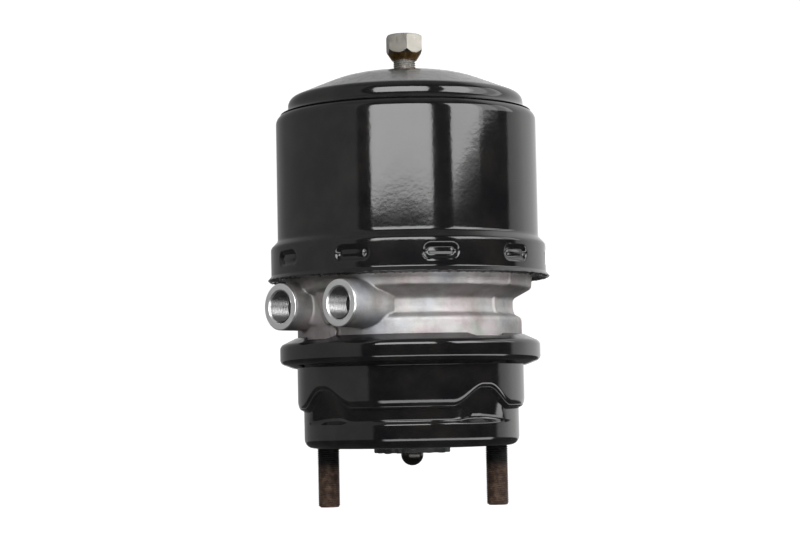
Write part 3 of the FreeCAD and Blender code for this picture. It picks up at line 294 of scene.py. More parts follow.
def turned_piece(name, outline, steps, shape=None):
    """A closed outline turned about the axis; shape may move each (angle, radius, height)."""
    radii = np.array([point.x for point in outline])
    heights = np.array([point.y for point in outline])
    angles = np.linspace(0, 2 * math.pi, steps, endpoint=False)
    turn, radius = np.meshgrid(angles, radii, indexing="ij")
    height = np.broadcast_to(heights, radius.shape)
    if shape:
        radius, height = shape(turn, radius.copy(), height.copy())
    points = np.stack([radius * np.cos(turn), radius * np.sin(turn), height], axis=-1)
    rows = len(outline)
    first = np.arange(steps)[:, None] * rows + np.arange(rows)[None, :]
    across = np.roll(first, -1, axis=0)
    faces = np.stack([first, across, np.roll(across, -1, axis=1), np.roll(first, -1, axis=1)],
                     axis=-1).reshape(-1, 4)
    piece = mesh_from(name, points.reshape(-1, 3).tolist(), faces.tolist())
    face_outwards(piece)
    return piece


def face_outwards(piece):
    """Turn the faces so that the mesh holds a positive volume."""
    shape = bmesh.new()
    shape.from_mesh(piece.data)
    if shape.calc_volume(signed=True) < 0:
        bmesh.ops.reverse_faces(shape, faces=shape.faces)
    shape.to_mesh(piece.data)
    shape.free()


def soft_step(value, low, high):
    """0 below low and 1 above high, with a smooth rise between."""
    share = np.clip((value - low) / (high - low), 0, 1)
    return share * share * (3 - 2 * share)


def ripple(turn, seed, lowest, highest):
    """A smooth, repeatable unevenness round the axis, between about -1 and 1."""
    random = np.random.default_rng(seed)
    total = np.zeros_like(turn)
    for waves in range(lowest, highest):
        total += random.normal() * np.sin(waves * turn + random.uniform(0, 2 * math.pi))
    return total / math.sqrt((highest - lowest) * 0.5) / 2.2


def new_material(name):
    """A new material with its nodes and links."""
    material = bpy.data.materials.new(name)
    material.use_nodes = True
    return material, material.node_tree.nodes, material.node_tree.links


def math_node(tree, operation, one, other=None):
    """One Math node on values or sockets."""
    node = tree.nodes.new("ShaderNodeMath")
    node.operation = operation
    for index, value in enumerate((one, other)):
        if isinstance(value, bpy.types.NodeSocket):
            tree.links.new(value, node.inputs[index])
        elif value is not None:
            node.inputs[index].default_value = value
    return node.outputs[0]


def ramp_node(tree, source, stops):
    """A colour ramp; stops are (place, colour or grey)."""
    node = tree.nodes.new("ShaderNodeValToRGB")
    elements = node.color_ramp.elements
    while len(elements) < len(stops):
        elements.new(0.5)
    for element, (place, value) in zip(elements, stops):
        element.position = place
        element.color = (*value, 1) if hasattr(value, "__len__") else (value, value, value, 1)
    tree.links.new(source, node.inputs["Fac"])
    return node.outputs["Color"]


class Finish:
    """A material's node tree with short ways to add noise, ramps and bumps."""

    def __init__(self, name):
        self.material, self.nodes, self.links = new_material(name)
        self.shader = self.nodes["Principled BSDF"]
        self.place = self.nodes.new("ShaderNodeTexCoord").outputs["Object"]

    def set(self, **values):
        """Set the shader's own sockets by name."""
        for socket, value in values.items():
            name = socket.replace("_", " ").title().replace("Ior", "IOR")
            self.shader.inputs[name].default_value = value

    def noise(self, scale, detail=2.0, stretch=None, rough=0.5):
        """Noise in the piece's own space."""
        node = self.nodes.new("ShaderNodeTexNoise")
        node.inputs["Scale"].default_value = scale
        node.inputs["Detail"].default_value = detail
        node.inputs["Roughness"].default_value = rough
        source = self.place
        if stretch:
            mapping = self.nodes.new("ShaderNodeMapping")
            mapping.inputs["Scale"].default_value = stretch
            self.links.new(source, mapping.inputs["Vector"])
            source = mapping.outputs["Vector"]
        self.links.new(source, node.inputs["Vector"])
        return node.outputs["Fac"]

    def ramp(self, source, stops):
        """A colour ramp; stops are (place, colour or grey)."""
        return ramp_node(self.material.node_tree, source, stops)

    def mix(self, share, one, other, mode="MIX"):
        """Two colours mixed by a share; each may be a value or a socket."""
        node = self.nodes.new("ShaderNodeMix")
        node.data_type = "RGBA"
        node.blend_type = mode
        for socket, value in (("Factor", share), ("A", one), ("B", other)):
            target = next(item for item in node.inputs if item.name == socket
                          and item.type == ("VALUE" if socket == "Factor" else "RGBA"))
            if isinstance(value, bpy.types.NodeSocket):
                self.links.new(value, target)
            elif socket == "Factor":
                target.default_value = value
            else:
                target.default_value = (*value, 1)
        return next(item for item in node.outputs if item.type == "RGBA")

    def maths(self, operation, one, other=None):
        """One Math node on values or sockets."""
        return math_node(self.material.node_tree, operation, one, other)

    def band(self, source, low, high):
        """0 below low to 1 above high."""
        node = self.nodes.new("ShaderNodeMapRange")
        node.interpolation_type = "SMOOTHSTEP"
        node.inputs["From Min"].default_value = low
        node.inputs["From Max"].default_value = high
        self.links.new(source, node.inputs["Value"])
        return node.outputs["Result"]

    def height(self):
        """How high a point lies over the mounting face."""
        node = self.nodes.new("ShaderNodeSeparateXYZ")
        self.links.new(self.place, node.inputs["Vector"])
        return node.outputs["Z"]

    def facing_up(self):
        """1 where the surface faces up, 0 on a wall."""
        geometry = self.nodes.new("ShaderNodeNewGeometry")
        node = self.nodes.new("ShaderNodeSeparateXYZ")
        self.links.new(geometry.outputs["Normal"], node.inputs["Vector"])
        return node.outputs["Z"]

    def bump(self, source, strength, distance, under=None):
        """Unevenness from a source, over another bump if there is one."""
        node = self.nodes.new("ShaderNodeBump")
        node.inputs["Strength"].default_value = strength
        node.inputs["Distance"].default_value = distance
        self.links.new(source, node.inputs["Height"])
        if under:
            self.links.new(under, node.inputs["Normal"])
        self.links.new(node.outputs["Normal"], self.shader.inputs["Normal"])
        return node.outputs["Normal"]

    def join(self, source, socket):
        """Lead a source into one of the shader's sockets."""
        self.links.new(source, self.shader.inputs[socket])


def shared_finish(name, maker, *values):
    """The finish of that name, made once."""
    return bpy.data.materials.get(name) or maker(name, *values)


def coat_finish(name):
    """Black stove enamel: glossy, with slight orange peel and dust on what faces up."""
    look = Finish(name)
    coat = tuple(finish().coat)
    dust = look.maths("MULTIPLY", look.band(look.facing_up(), 0.55, 0.95),
                      look.ramp(look.noise(220, 5), [(0.35, 0.15), (0.7, 0.8)]))
    grime = look.ramp(look.noise(34, 6, rough=0.65), [(0.42, coat), (0.75, (0.010, 0.009, 0.008))])
    look.join(look.mix(dust, grime, (0.02, 0.02, 0.021)), "Base Color")
    smear = look.ramp(look.noise(18, 5, stretch=(1, 1, 0.4)), [(0.3, 0.06), (0.7, 0.12)])
    look.join(look.mix(dust, smear, (0.3, 0.3, 0.3)), "Roughness")
    look.set(ior=1.55)
    peel = look.bump(look.noise(420, 2), 0.05, 0.0004)
    look.bump(look.noise(60, 2), 0.05, 0.0012, peel)
    return look.material


def casting_finish():
    """Cast aluminium: grey and blotchy, with faint tints and a grainy skin."""
    look = Finish("sand_cast_aluminium")
    grey = look.mix(look.ramp(look.noise(46, 6, rough=0.62), [(0.4, 0.0), (0.68, 1.0)]),
                    tuple(finish().casting), tuple(finish().casting_stain))
    tint = look.ramp(look.noise(28, 3), [(0.3, (0.93, 0.96, 1.06)), (0.47, (1.0, 1.0, 1.0)),
                                         (0.58, (1.06, 0.97, 1.02)), (0.7, (0.95, 1.03, 0.97))])
    look.join(look.mix(1.0, grey, tint, "MULTIPLY"), "Base Color")
    look.join(look.ramp(look.noise(70, 4), [(0.3, 0.55), (0.7, 0.72)]), "Roughness")
    look.set(metallic=1.0)
    grain = look.bump(look.noise(1100, 3), 0.25, 0.0005)
    look.bump(look.noise(140, 4), 0.3, 0.0011, grain)
    return look.material


def machined_finish(name, painted_light_factor=1.0):
    """Turned aluminium: bright, with fine tool marks round the port's axis. Its colour is scaled by a
    factor: above 1 it paints light on, below 1 it paints shade in.
    """
    look = Finish(name)
    # The factor paints light or shade into the colour: above 1 a painted highlight, below 1 painted
    # shade.
    darker = tuple(channel * painted_light_factor for channel in finish().machined)
    lighter = tuple(channel * 1.15 for channel in darker)
    look.join(look.ramp(look.noise(90, 3), [(0.3, darker), (0.7, lighter)]), "Base Color")
    look.join(look.ramp(look.noise(600, 3), [(0.3, 0.28), (0.7, 0.42)]), "Roughness")
    look.set(metallic=1.0)
    look.bump(look.noise(2200, 2), 0.12, 0.0002)
    return look.material


def stud_finish():
    """Oiled brown-black steel, black near the housing where the coat has run on to it."""
    look = Finish("oiled_stud_steel")
    brown = look.mix(look.ramp(look.noise(260, 5), [(0.4, 0.0), (0.72, 1.0)]),
                     tuple(finish().stud), (0.13, 0.085, 0.06))
    coated = look.band(look.height(), -0.019, -0.009)
    outside = look.band(look.height(), 0.1, 0.11)
    black = look.maths("SUBTRACT", coated, outside)
    look.join(look.mix(black, brown, (0.008, 0.008, 0.008)), "Base Color")
    look.join(look.ramp(look.noise(500, 3), [(0.3, 0.42), (0.7, 0.62)]), "Roughness")
    look.set(metallic=0.55)
    look.bump(look.noise(1500, 2), 0.2, 0.0003)
    return look.material


def bolt_finish():
    """Grey phosphated steel of the release bolt's thread."""
    look = Finish("bolt_steel")
    look.join(look.ramp(look.noise(500, 4), [(0.3, (0.19, 0.18, 0.165)), (0.7, (0.34, 0.33, 0.31))]),
              "Base Color")
    look.join(look.ramp(look.noise(300, 3), [(0.3, 0.36), (0.7, 0.52)]), "Roughness")
    look.set(metallic=0.9)
    look.bump(look.noise(1800, 2), 0.15, 0.0003)
    return look.material


def zinc_finish():
    """Zinc plate, cream grey on the flats and gold on the nut's cone."""
    look = Finish("zinc_plate")
    flats = look.mix(look.ramp(look.noise(160, 4), [(0.4, 0.0), (0.75, 1.0)]),
                     tuple(finish().zinc), (0.31, 0.295, 0.265))
    gold = look.mix(look.ramp(look.noise(340, 4), [(0.4, 0.0), (0.7, 1.0)]),
                    tuple(finish().zinc_gold), (0.2, 0.11, 0.05))
    low = look.band(look.height(), NUT_FOOT + 0.0036, NUT_FOOT + 0.0052)
    look.join(look.mix(low, gold, flats), "Base Color")
    look.join(look.ramp(look.noise(200, 4), [(0.3, 0.26), (0.7, 0.42)]), "Roughness")
    look.set(metallic=1.0)
    look.bump(look.noise(700, 3), 0.16, 0.0004)
    return look.material


def plain_finish(name, base, roughness, metallic, grain):
    """A plain finish with slight unevenness in colour, gloss and skin."""
    look = Finish(name)
    darker = tuple(channel * 0.72 for channel in base)
    look.join(look.ramp(look.noise(120, 4), [(0.35, darker), (0.65, base)]), "Base Color")
    look.join(look.ramp(look.noise(260, 3), [(0.3, roughness * 0.8), (0.7, min(1.0, roughness * 1.2))]),
              "Roughness")
    look.set(metallic=metallic)
    look.bump(look.noise(grain, 3), 0.2, 0.0004)
    return look.material


def rubber_finish(name):
    """Black rubber with a dull moulded skin."""
    return plain_finish(name, tuple(finish().rubber), 0.55, 0.0, 900)


def dress(piece, material, slot, body, *nodes):
    """Give a piece its finish, its body and the nodes it stands for."""
    piece.data.materials.clear()
    piece.data.materials.append(material)
    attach(piece, body)
    if nodes:
        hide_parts(*nodes)


def stadium_gap(across, up, long_half, radius):
    """How far a point lies outside a stadium's outline, negative inside."""
    along = np.maximum(np.abs(across) - (long_half - radius), 0)
    return np.hypot(along, up) - radius


def cap_shape(turn, radius, height):
    """The crimped dimples and the ragged sheared lip of the spring housing."""
    size = sizes()
    low_front = math.radians(-90 + 180 / size.dimples)
    step = 2 * math.pi / size.dimples
    across = ((turn - low_front + step / 2) % step - step / 2) * size.crimp_radius
    gap = stadium_gap(across, height - size.dimple_height, size.dimple_length / 2,
                      size.dimple_width / 2)
    depth = 1 - soft_step(gap, -2.1 * MM, 0.4 * MM)
    island = 1 - soft_step(gap, -4.0 * MM, -2.8 * MM)
    pinch = np.exp(-((np.abs(across) - size.dimple_length * 0.4) / (1.2 * MM)) ** 2)
    pinch = pinch * np.exp(-((height - size.dimple_height) / (2.2 * MM)) ** 2)
    in_skirt = (radius > size.cap_radius - size.sheet) & (height < size.crimp_cone_foot)
    press = size.dimple_depth * (depth - 0.28 * island) + 0.7 * MM * pinch * depth
    radius = radius - np.where(in_skirt, press, 0)
    lip = 1 - soft_step(height, CAP_FOOT, CAP_FOOT + 2.2 * MM)
    radius = radius + lip * 0.6 * MM * ripple(turn, 3, 30, 90)
    height = height - lip * 0.4 * MM * np.maximum(ripple(turn, 5, 60, 200), -0.2)
    return radius, height


def make_spring_housing():
    """The cap: a dome, a straight wall, a cone and the crimped skirt, turned as one sheet."""
    size = sizes()
    wall = size.sheet
    fall = size.dome_drop / (size.dome_rim - size.dome_flat)
    rim_under = DOME_TOP - (size.dome_rim - wall - size.dome_flat) * fall - wall * 1.08
    cone_top = size.crimp_cone_foot + size.crimp_radius - size.cap_radius
    crimp_inner = size.crimp_radius - wall
    cap_inner = size.cap_radius - wall
    mitre = wall * math.tan(math.radians(22.5))
    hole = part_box("release_bush")[1].x - 6 * MM
    outline = rounded([
        (crimp_inner, CAP_FOOT + size.lip_height, 0.5 * MM),
        (crimp_inner + size.lip_flare, CAP_FOOT, 0),
        (size.crimp_radius + size.lip_flare, CAP_FOOT + 1.2 * MM, 0.4 * MM),
        (size.crimp_radius, CAP_FOOT + size.lip_height + 1 * MM, 2 * MM),
        (size.crimp_radius, size.crimp_cone_foot, 4 * MM),
        (size.cap_radius, cone_top, 4 * MM),
        (size.cap_radius, size.shoulder, 7 * MM),
        (size.dome_rim, size.shoulder, 5.5 * MM),
        (size.dome_rim, DOME_TOP - size.dome_drop, 7 * MM),
        (size.dome_flat, DOME_TOP, 85 * MM),
        (hole, DOME_TOP, 0),
        (hole, DOME_TOP - wall, 0),
        (size.dome_flat - 0.6 * MM, DOME_TOP - wall, 82 * MM),
        (size.dome_rim - wall, rim_under, 4 * MM),
        (size.dome_rim - wall, size.shoulder - wall, 8 * MM),
        (cap_inner, size.shoulder - wall, 0.4 * MM),
        (cap_inner, cone_top - mitre, 0),
        (crimp_inner, size.crimp_cone_foot - mitre, 0),
    ])
    piece = turned_piece("spring_housing_skin", divided(outline, 1.3 * MM), 720, cap_shape)
    dress(piece, shared_finish("stove_enamel", coat_finish), "black_coat", "chamber", "spring_housing")


def foot_plan(turn):
    """The foot's squarish outline: how far it stands from the axis in each direction."""
    size = sizes()
    inset = size.foot_radius - size.foot_corner
    from_corner = np.abs((turn + math.pi / 4) % (math.pi / 2) - math.pi / 4)
    from_flat = math.pi / 4 - from_corner
    sideways = inset * np.sin(from_corner)
    corner = inset * np.cos(from_corner) + np.sqrt(size.foot_corner ** 2 - sideways ** 2)
    flat = (size.foot_corner + inset * math.sqrt(0.5)) / np.cos(from_flat)
    return np.where(flat * np.sin(from_flat) < inset * math.sqrt(0.5), flat, corner)


def scoop_share(turn):
    """1 in the middle of a scoop and 0 beside it, for the four scoops pressed into the cup."""
    size = sizes()
    from_front = np.abs(turn % math.pi - math.pi / 2)
    return soft_step(1 - np.abs(from_front - size.scoop_turn) / size.scoop_half, 0, 0.9)


def cup_shape(turn, radius, height):
    """The squarish foot, the neck over it and the four scoops pressed into the cup's wall."""
    size = sizes()
    side = (radius > size.foot_radius * 0.8) & (height < size.cup_straight)
    low = (radius > size.mouth_radius * 1.2) & (height < size.foot_bend)
    near = soft_step(radius, size.foot_radius - size.foot_bend * 1.6, size.foot_radius - 0.5 * MM)
    foot = 1 - soft_step(height, size.foot_height - 1.5 * MM, size.foot_height + 1.5 * MM)
    plan = (foot_plan(turn) - size.foot_radius) * foot * np.where(side | low, near, 0)
    scoop = scoop_share(turn)
    across = np.abs(radius * np.cos(turn))
    window = 1 - soft_step(across, size.neck_half - 4 * MM, size.neck_half + 4 * MM)
    band = soft_step(height, size.foot_height - 1 * MM, size.foot_height + 1 * MM) * side
    fall = np.clip((size.cone_foot - height) / (size.cone_foot - size.foot_height - 1 * MM), 0, 1)
    neck = (size.foot_radius - size.neck_radius) * band * fall * np.maximum(window, scoop)
    press = size.scoop_depth * band * scoop * fall
    lift = np.interp(height, [size.foot_height, size.cone_foot, size.cone_top, size.cup_straight],
                     [0, size.scoop_inner, size.scoop_rise, 0])
    return radius + plan - neck - press, height + lift * scoop * side


def make_service_housing():
    """The cup: a floor round the mouth, a foot, a cone, a straight wall and the clamped flange."""
    size = sizes()
    wall = size.sheet
    under = CUP_TOP
    slope = size.flange_rise / (size.flange_radius - size.collar_radius)
    back = under - size.flange_edge - (size.flange_radius - size.cup_radius) * slope
    outline = rounded([
        (size.mouth_radius, 0, 0.3 * MM),
        (size.foot_radius, 0, size.foot_bend),
        (size.foot_radius, size.cone_foot, 1.5 * MM),
        (size.cup_radius - 1.6 * MM, size.cone_top - 3.4 * MM, 2.5 * MM),
        (size.cup_radius, size.cone_top, 13 * MM),
        (size.cup_radius, back - 1 * MM, 2 * MM),
        (size.flange_radius, under - size.flange_edge, 1 * MM),
        (size.flange_radius, under, 0.5 * MM),
        (size.cup_radius - wall, under, 2.5 * MM),
        (size.cup_radius - wall, size.cone_top + 0.5 * MM, 9 * MM),
        (size.foot_radius - wall, size.cone_foot + 0.5 * MM, 4 * MM),
        (size.foot_radius - wall, wall, 3.5 * MM),
        (size.mouth_radius, wall, 0.3 * MM),
    ])
    piece = turned_piece("service_housing_skin", divided(outline, 1.1 * MM), 720, cup_shape)
    dress(piece, shared_finish("stove_enamel", coat_finish), "black_coat", "chamber", "service_housing")


def clamp_shape(turn, radius, height):
    """The upper lip's long tabs and the short stretches between them."""
    size = sizes()
    quarter = np.abs((turn + math.pi / 4) % (math.pi / 2) - math.pi / 4)
    tab = 1 - soft_step(quarter, math.radians(33), math.radians(37))
    inner = size.clamp_radius - size.clamp_gap
    slope = size.flange_rise / (size.flange_radius - size.collar_radius)
    above = (height > size.joint_height) & (radius < inner)
    pulled = np.where(above, (inner - radius) * (1 - tab), 0)
    height = height - pulled * slope
    radius = radius + pulled
    from_front = np.degrees(np.abs((turn + math.pi / 2 + math.pi) % (2 * math.pi) - math.pi))
    from_front = np.minimum(from_front, 180 - from_front)
    notch = 1 - soft_step(np.abs(from_front - 52), 4.6, 5.6)
    low_inner = size.clamp_radius - size.clamp_notch - 1.5 * MM
    below = (height < size.joint_height) & (radius < low_inner)
    pulled = np.where(below, (low_inner - radius) * notch, 0)
    return radius + pulled, height + pulled * slope


def make_clamp_ring():
    """The ring that holds both flanges: an upright band with a sloping lip above and below."""
    size = sizes()
    wall = size.sheet
    slope = size.flange_rise / (size.flange_radius - size.collar_radius)
    thick = wall * math.sqrt(1 + slope ** 2)
    over = size.joint_height + size.bead / 2 + size.flange_edge + 0.1 * MM + size.flange_radius * slope
    under = size.joint_height - size.bead / 2 - size.flange_edge - 0.1 * MM - size.flange_radius * slope
    tab = size.clamp_radius - size.clamp_tab
    foot = size.cup_radius + 2.2 * MM
    bore = size.clamp_radius - wall
    outline = rounded([
        (size.clamp_radius, under + size.clamp_radius * slope - thick - 0.8 * MM, size.clamp_bend),
        (size.clamp_radius, over - size.clamp_radius * slope + thick, size.clamp_bend),
        (tab, over - tab * slope + thick, 0.8 * MM),
        (tab, over - tab * slope, 0.5 * MM),
        (bore, over - bore * slope, 2 * MM),
        (bore, under + bore * slope, 2 * MM),
        (foot, under + foot * slope, 0.5 * MM),
        (foot, under + foot * slope - thick, 0.8 * MM),
    ])
    piece = turned_piece("clamp_ring_skin", divided(outline, 0.8 * MM), 720, clamp_shape)
    dress(piece, shared_finish("stove_enamel", coat_finish), "black_coat", "chamber", "clamp_ring")


def thread_tube(name, radius, start, end, inside=False, side_steps=72, tip=0.0):
    """A tube whose wall is a helical thread along +Z, run out to the core at its start."""
    size = sizes()
    rows = max(8, round((end - start) / size.thread_pitch * 10))
    heights = np.linspace(start, end, rows)
    angles = np.linspace(0, 2 * math.pi, side_steps, endpoint=False)
    turn, height = np.meshgrid(angles, heights, indexing="ij")
    phase = (height / size.thread_pitch - turn / (2 * math.pi)) % 1
    ridge = np.clip(np.abs(phase * 2 - 1) * 1.35 - 0.15, 0, 1)
    depth = size.thread_depth * (1 - ridge)
    wall = radius + depth if inside else radius - depth
    if tip:
        wall = wall - np.clip(tip - (height - start), 0, tip)
    points = np.stack([wall * np.cos(turn), wall * np.sin(turn), height], axis=-1)
    first = np.arange(side_steps)[:, None] * rows + np.arange(rows - 1)[None, :]
    across = (first + rows) % (side_steps * rows)
    faces = np.stack([first, across, across + 1, first + 1], axis=-1).reshape(-1, 4).tolist()
    vertices = points.reshape(-1, 3).tolist()
    if not inside:
        for row, height in ((0, start), (rows - 1, end)):
            rim = [step * rows + row for step in range(side_steps)]
            faces.append(rim[::-1] if row == 0 else rim)
    return mesh_from(name, vertices, faces)


def join_pieces(name, parts):
    """One piece made of several meshes."""
    vertices = []
    faces = []
    smooth = []
    for part in parts:
        base = len(vertices)
        part_place = part.matrix_world
        vertices += [tuple(part_place @ vertex.co) for vertex in part.data.vertices]
        faces += [[base + index for index in face.vertices] for face in part.data.polygons]
        smooth += [face.use_smooth for face in part.data.polygons]
        bpy.data.objects.remove(part)
    piece = mesh_from(name, vertices, faces)
    piece.data.polygons.foreach_set("use_smooth", smooth)
    return piece


def make_mounting_studs():
    """The two threaded studs with their heads inside the cup."""
    size = sizes()
    head_radius = 11 * MM
    head_foot = 7 * MM
    head_top = 14 * MM
    middle = 0.1 * MM
    parts = []
    for side in (-1, 1):
        stud = thread_tube("stud", size.stud_radius, STUD_TIP, head_foot + 1 * MM, tip=1.2 * MM)
        stud.location.x = side * size.stud_pitch / 2
        outline = rounded([
            (middle, head_foot, 0),
            (head_radius, head_foot, 0.5 * MM),
            (head_radius, head_top, 1 * MM),
            (middle, head_top, 0),
        ])
        head = turned_piece("stud_head", divided(outline, 2 * MM), 6)
        head.data.polygons.foreach_set("use_smooth", [False] * len(head.data.polygons))
        head.location.x = side * size.stud_pitch / 2
        parts += [stud, head]
    bpy.context.view_layer.update()
    piece = join_pieces("threaded_studs", parts)
    dress(piece, stud_finish(), "stud_steel", "chamber", "mounting_studs")


def nut_shape(turn, radius, height):
    """A hexagon cut by a cone below and a crown above."""
    size = sizes()
    flat = size.nut_width / 2
    sector = (turn + math.pi / 6) % (math.pi / 3) - math.pi / 6
    hexagon = flat / np.cos(sector)
    cone = 9.0 * MM + (height - NUT_FOOT) / 1.5
    crown = flat * 0.96 + (NUT_TOP - height) / 0.5
    reach = np.minimum(np.minimum(hexagon, cone), crown)
    outside = radius > size.stud_radius * 1.05
    share = np.where(outside, (radius - size.stud_radius) / (flat * 1.16 - size.stud_radius), 0)
    shaped = size.stud_radius + (reach - size.stud_radius) * np.minimum(share, 1)
    return np.where(outside, shaped, radius), height


def make_release_bolt():
    """The threaded release bolt and the crowned nut on its end."""
    size = sizes()
    bolt = thread_tube("threaded_bolt", size.stud_radius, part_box("release_bolt")[0].z,
                       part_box("release_bolt")[1].z, tip=1.0 * MM)
    dress(bolt, bolt_finish(), "stud_steel", "bolt_group", "release_bolt")
    wide = size.nut_width / 2 * 1.16
    outline = divided(rounded([
        (size.stud_radius - 0.4 * MM, NUT_FOOT, 0),
        (wide, NUT_FOOT, 0),
        (wide, NUT_TOP, 0),
        (0.2 * MM, NUT_TOP, 0),
        (0.2 * MM, NUT_TOP - 0.9 * MM, 0),
        (size.stud_radius - 0.4 * MM, NUT_TOP - 0.9 * MM, 0),
    ]), 0.25 * MM)
    nut = turned_piece("crowned_nut", outline, 240, nut_shape)
    nut.data.transform(Matrix.Rotation(size.nut_azimuth - math.pi / 2, 4, "Z"))
    soften = nut.modifiers.new("edges", "EDGE_SPLIT")
    soften.split_angle = math.radians(24)
    dress(nut, zinc_finish(), "zinc_yellow", "bolt_group", "release_nut")


def seal_shape(turn, radius, height):
    """The moulded rubber's uneven outer edge under the cup."""
    below = height < -0.5 * MM
    edge = below & (radius > 24 * MM)
    height = height + np.where(edge, 0.5 * MM * ripple(turn, 11, 3, 22), 0)
    return radius + np.where(edge, 0.4 * MM * ripple(turn, 12, 4, 40), 0), height


def make_mouth_seal():
    """The moulded seal that lines the pushrod's opening."""
    size = sizes()
    low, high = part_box("mouth_seal")
    bore = 13 * MM
    top = size.sheet + 4 * MM
    outline = rounded([
        (bore, low.z, 0.5 * MM),
        (high.x, low.z, 0.7 * MM),
        (high.x, 0, 0.3 * MM),
        (size.mouth_radius - 0.1 * MM, 0, 0),
        (size.mouth_radius - 0.1 * MM, top, 0),
        (size.mouth_radius + 3 * MM, top, 0),
        (size.mouth_radius + 3 * MM, high.z, 0.8 * MM),
        (bore, high.z, 0.8 * MM),
    ])
    piece = turned_piece("moulded_mouth_seal", divided(outline, 0.6 * MM), 360, seal_shape)
    dress(piece, shared_finish("moulded_rubber", rubber_finish), "black_rubber", "chamber", "mouth_seal")


def tube(name, inner, outer, low, high, steps):
    """A closed tube along +Z with square ends."""
    corners = [(inner, low), (outer, low), (outer, high), (inner, high)]
    return turned_piece(name, [Vector(corner) for corner in corners], steps)


def solid_cylinder(name, radius, start, end, steps=96):
    """A closed cylinder along +Z."""
    return tube(name, 0.05 * MM, radius, start, end, steps)


def box_piece(name, low, high):
    """A box between two corners."""
    corners = [(x, y, z) for x in (low[0], high[0]) for y in (low[1], high[1])
               for z in (low[2], high[2])]
    faces = [(0, 1, 3, 2), (4, 6, 7, 5), (0, 4, 5, 1), (2, 3, 7, 6), (0, 2, 6, 4), (1, 5, 7, 3)]
    return mesh_from(name, corners, faces, smooth=False)


def towards_port(piece, across=0.0, up=0.0):
    """Lay a piece made along +Z along the ports' axis, before the body is turned."""
    place = Matrix.Translation((across, 0, up)) @ Matrix.Rotation(math.radians(90), 4, "X")
    piece.data.transform(place)
    return piece


def combine(piece, tool, operation):
    """Apply a boolean with another piece and remove that piece."""
    change = piece.modifiers.new(operation.lower(), "BOOLEAN")
    change.operation = operation
    change.solver = "EXACT"
    change.object = tool
    apply_modifiers(piece)
    bpy.data.objects.remove(tool)


def apply_modifiers(piece):
    """Keep what the piece's modifiers make of it, and drop them."""
    graph = bpy.context.evaluated_depsgraph_get()
    mesh = bpy.data.meshes.new_from_object(piece.evaluated_get(graph))
    piece.modifiers.clear()
    piece.data = mesh


def make_centre_body():
    """The casting: collar, waist, flare and rim turned as one, with bosses, web, pad and lug."""
    size = sizes()
    chamfer = 5 * MM
    rim_inner = 82.5 * MM
    outline = rounded([
        (size.casting_bore, BODY_FOOT, 0),
        (size.flange_radius, BODY_FOOT, 0.5 * MM),
        (size.flange_radius, BODY_FOOT + size.flange_edge, 0.8 * MM),
        (size.collar_radius, BODY_FOOT + size.flange_edge + size.flange_rise, 1.5 * MM),
        (size.collar_radius, size.ceiling + size.collar_rise, 3.6 * MM),
        (size.waist_foot_radius, size.ceiling + size.waist_foot_rise, 1.5 * MM),
        (size.waist_radius, size.ceiling + size.waist_low_rise, 4 * MM),
        (size.waist_radius, size.ceiling + size.waist_high_rise, 4 * MM),
        (size.flare_radius, size.ceiling + size.flare_rise, 3 * MM),
        (size.skirt_radius, size.ceiling + size.rim_rise, 0),
        (size.rim_radius, size.ceiling + size.rim_rise, 0.5 * MM),
        (size.rim_radius, BODY_TOP - chamfer, 0),
        (size.rim_radius - chamfer, BODY_TOP, 0),
        (rim_inner, BODY_TOP, 0),
        (rim_inner, size.ceiling + size.deck_rise + 2.5 * MM, 0),
        (size.casting_bore, size.ceiling + size.deck_rise, 0),
    ])
    body = turned_piece("cast_centre_body", divided(outline, 2 * MM), 360)
    reach = size.port_reach - 1.2 * MM
    for side in (-1, 1):
        boss = solid_cylinder("boss", size.port_radius, 60 * MM, reach, 128)
        combine(body, towards_port(boss, side * size.port_offset, size.port_height), "UNION")
    web = box_piece("web", (-size.port_offset, -80 * MM, size.port_height - size.web_half),
                    (size.port_offset, -62 * MM, size.port_height + size.web_half))
    combine(body, web, "UNION")
    pad = solid_cylinder("pad", size.pad_radius, 60 * MM, size.pad_reach, 48)
    for vertex in pad.data.vertices:
        vertex.co.x += math.copysign(size.pad_half, vertex.co.x)
    pad.data.transform(Matrix.Rotation(math.radians(90) + size.pad_tilt, 4, "Z"))
    combine(body, towards_port(pad, 0.0, size.port_height), "UNION")
    lug = solid_cylinder("lug", size.lug_radius, size.casting_bore, size.lug_reach, 48)
    towards_port(lug, 0.0, size.lug_height)
    lug.data.transform(Matrix.Rotation(size.port_azimuth - size.lug_turn, 4, "Z"))
    combine(body, lug, "UNION")
    add_parting_line(body)
    remesh = body.modifiers.new("skin", "REMESH")
    remesh.mode = "VOXEL"
    remesh.voxel_size = size.skin_voxel
    soften = body.modifiers.new("soften", "SMOOTH")
    soften.factor = 0.5
    soften.iterations = 5
    apply_modifiers(body)
    for side in (-1, 1):
        bore = solid_cylinder("bore", size.port_bore + 2.4 * MM, reach - size.port_depth, reach + 9 * MM)
        combine(body, towards_port(bore, side * size.port_offset, size.port_height), "DIFFERENCE")
    turn = Matrix.Rotation(-size.port_azimuth, 4, "Z")
    body.data.transform(turn)
    body.data.polygons.foreach_set("use_smooth", [True] * len(body.data.polygons))
    dress(body, casting_finish(), "cast_aluminium", "chamber", "centre_body")
    for side, name in ((-1, "service_port_face"), (1, "spring_port_face")):
        make_port_face(name, side, turn)
    make_body_inside(turn)


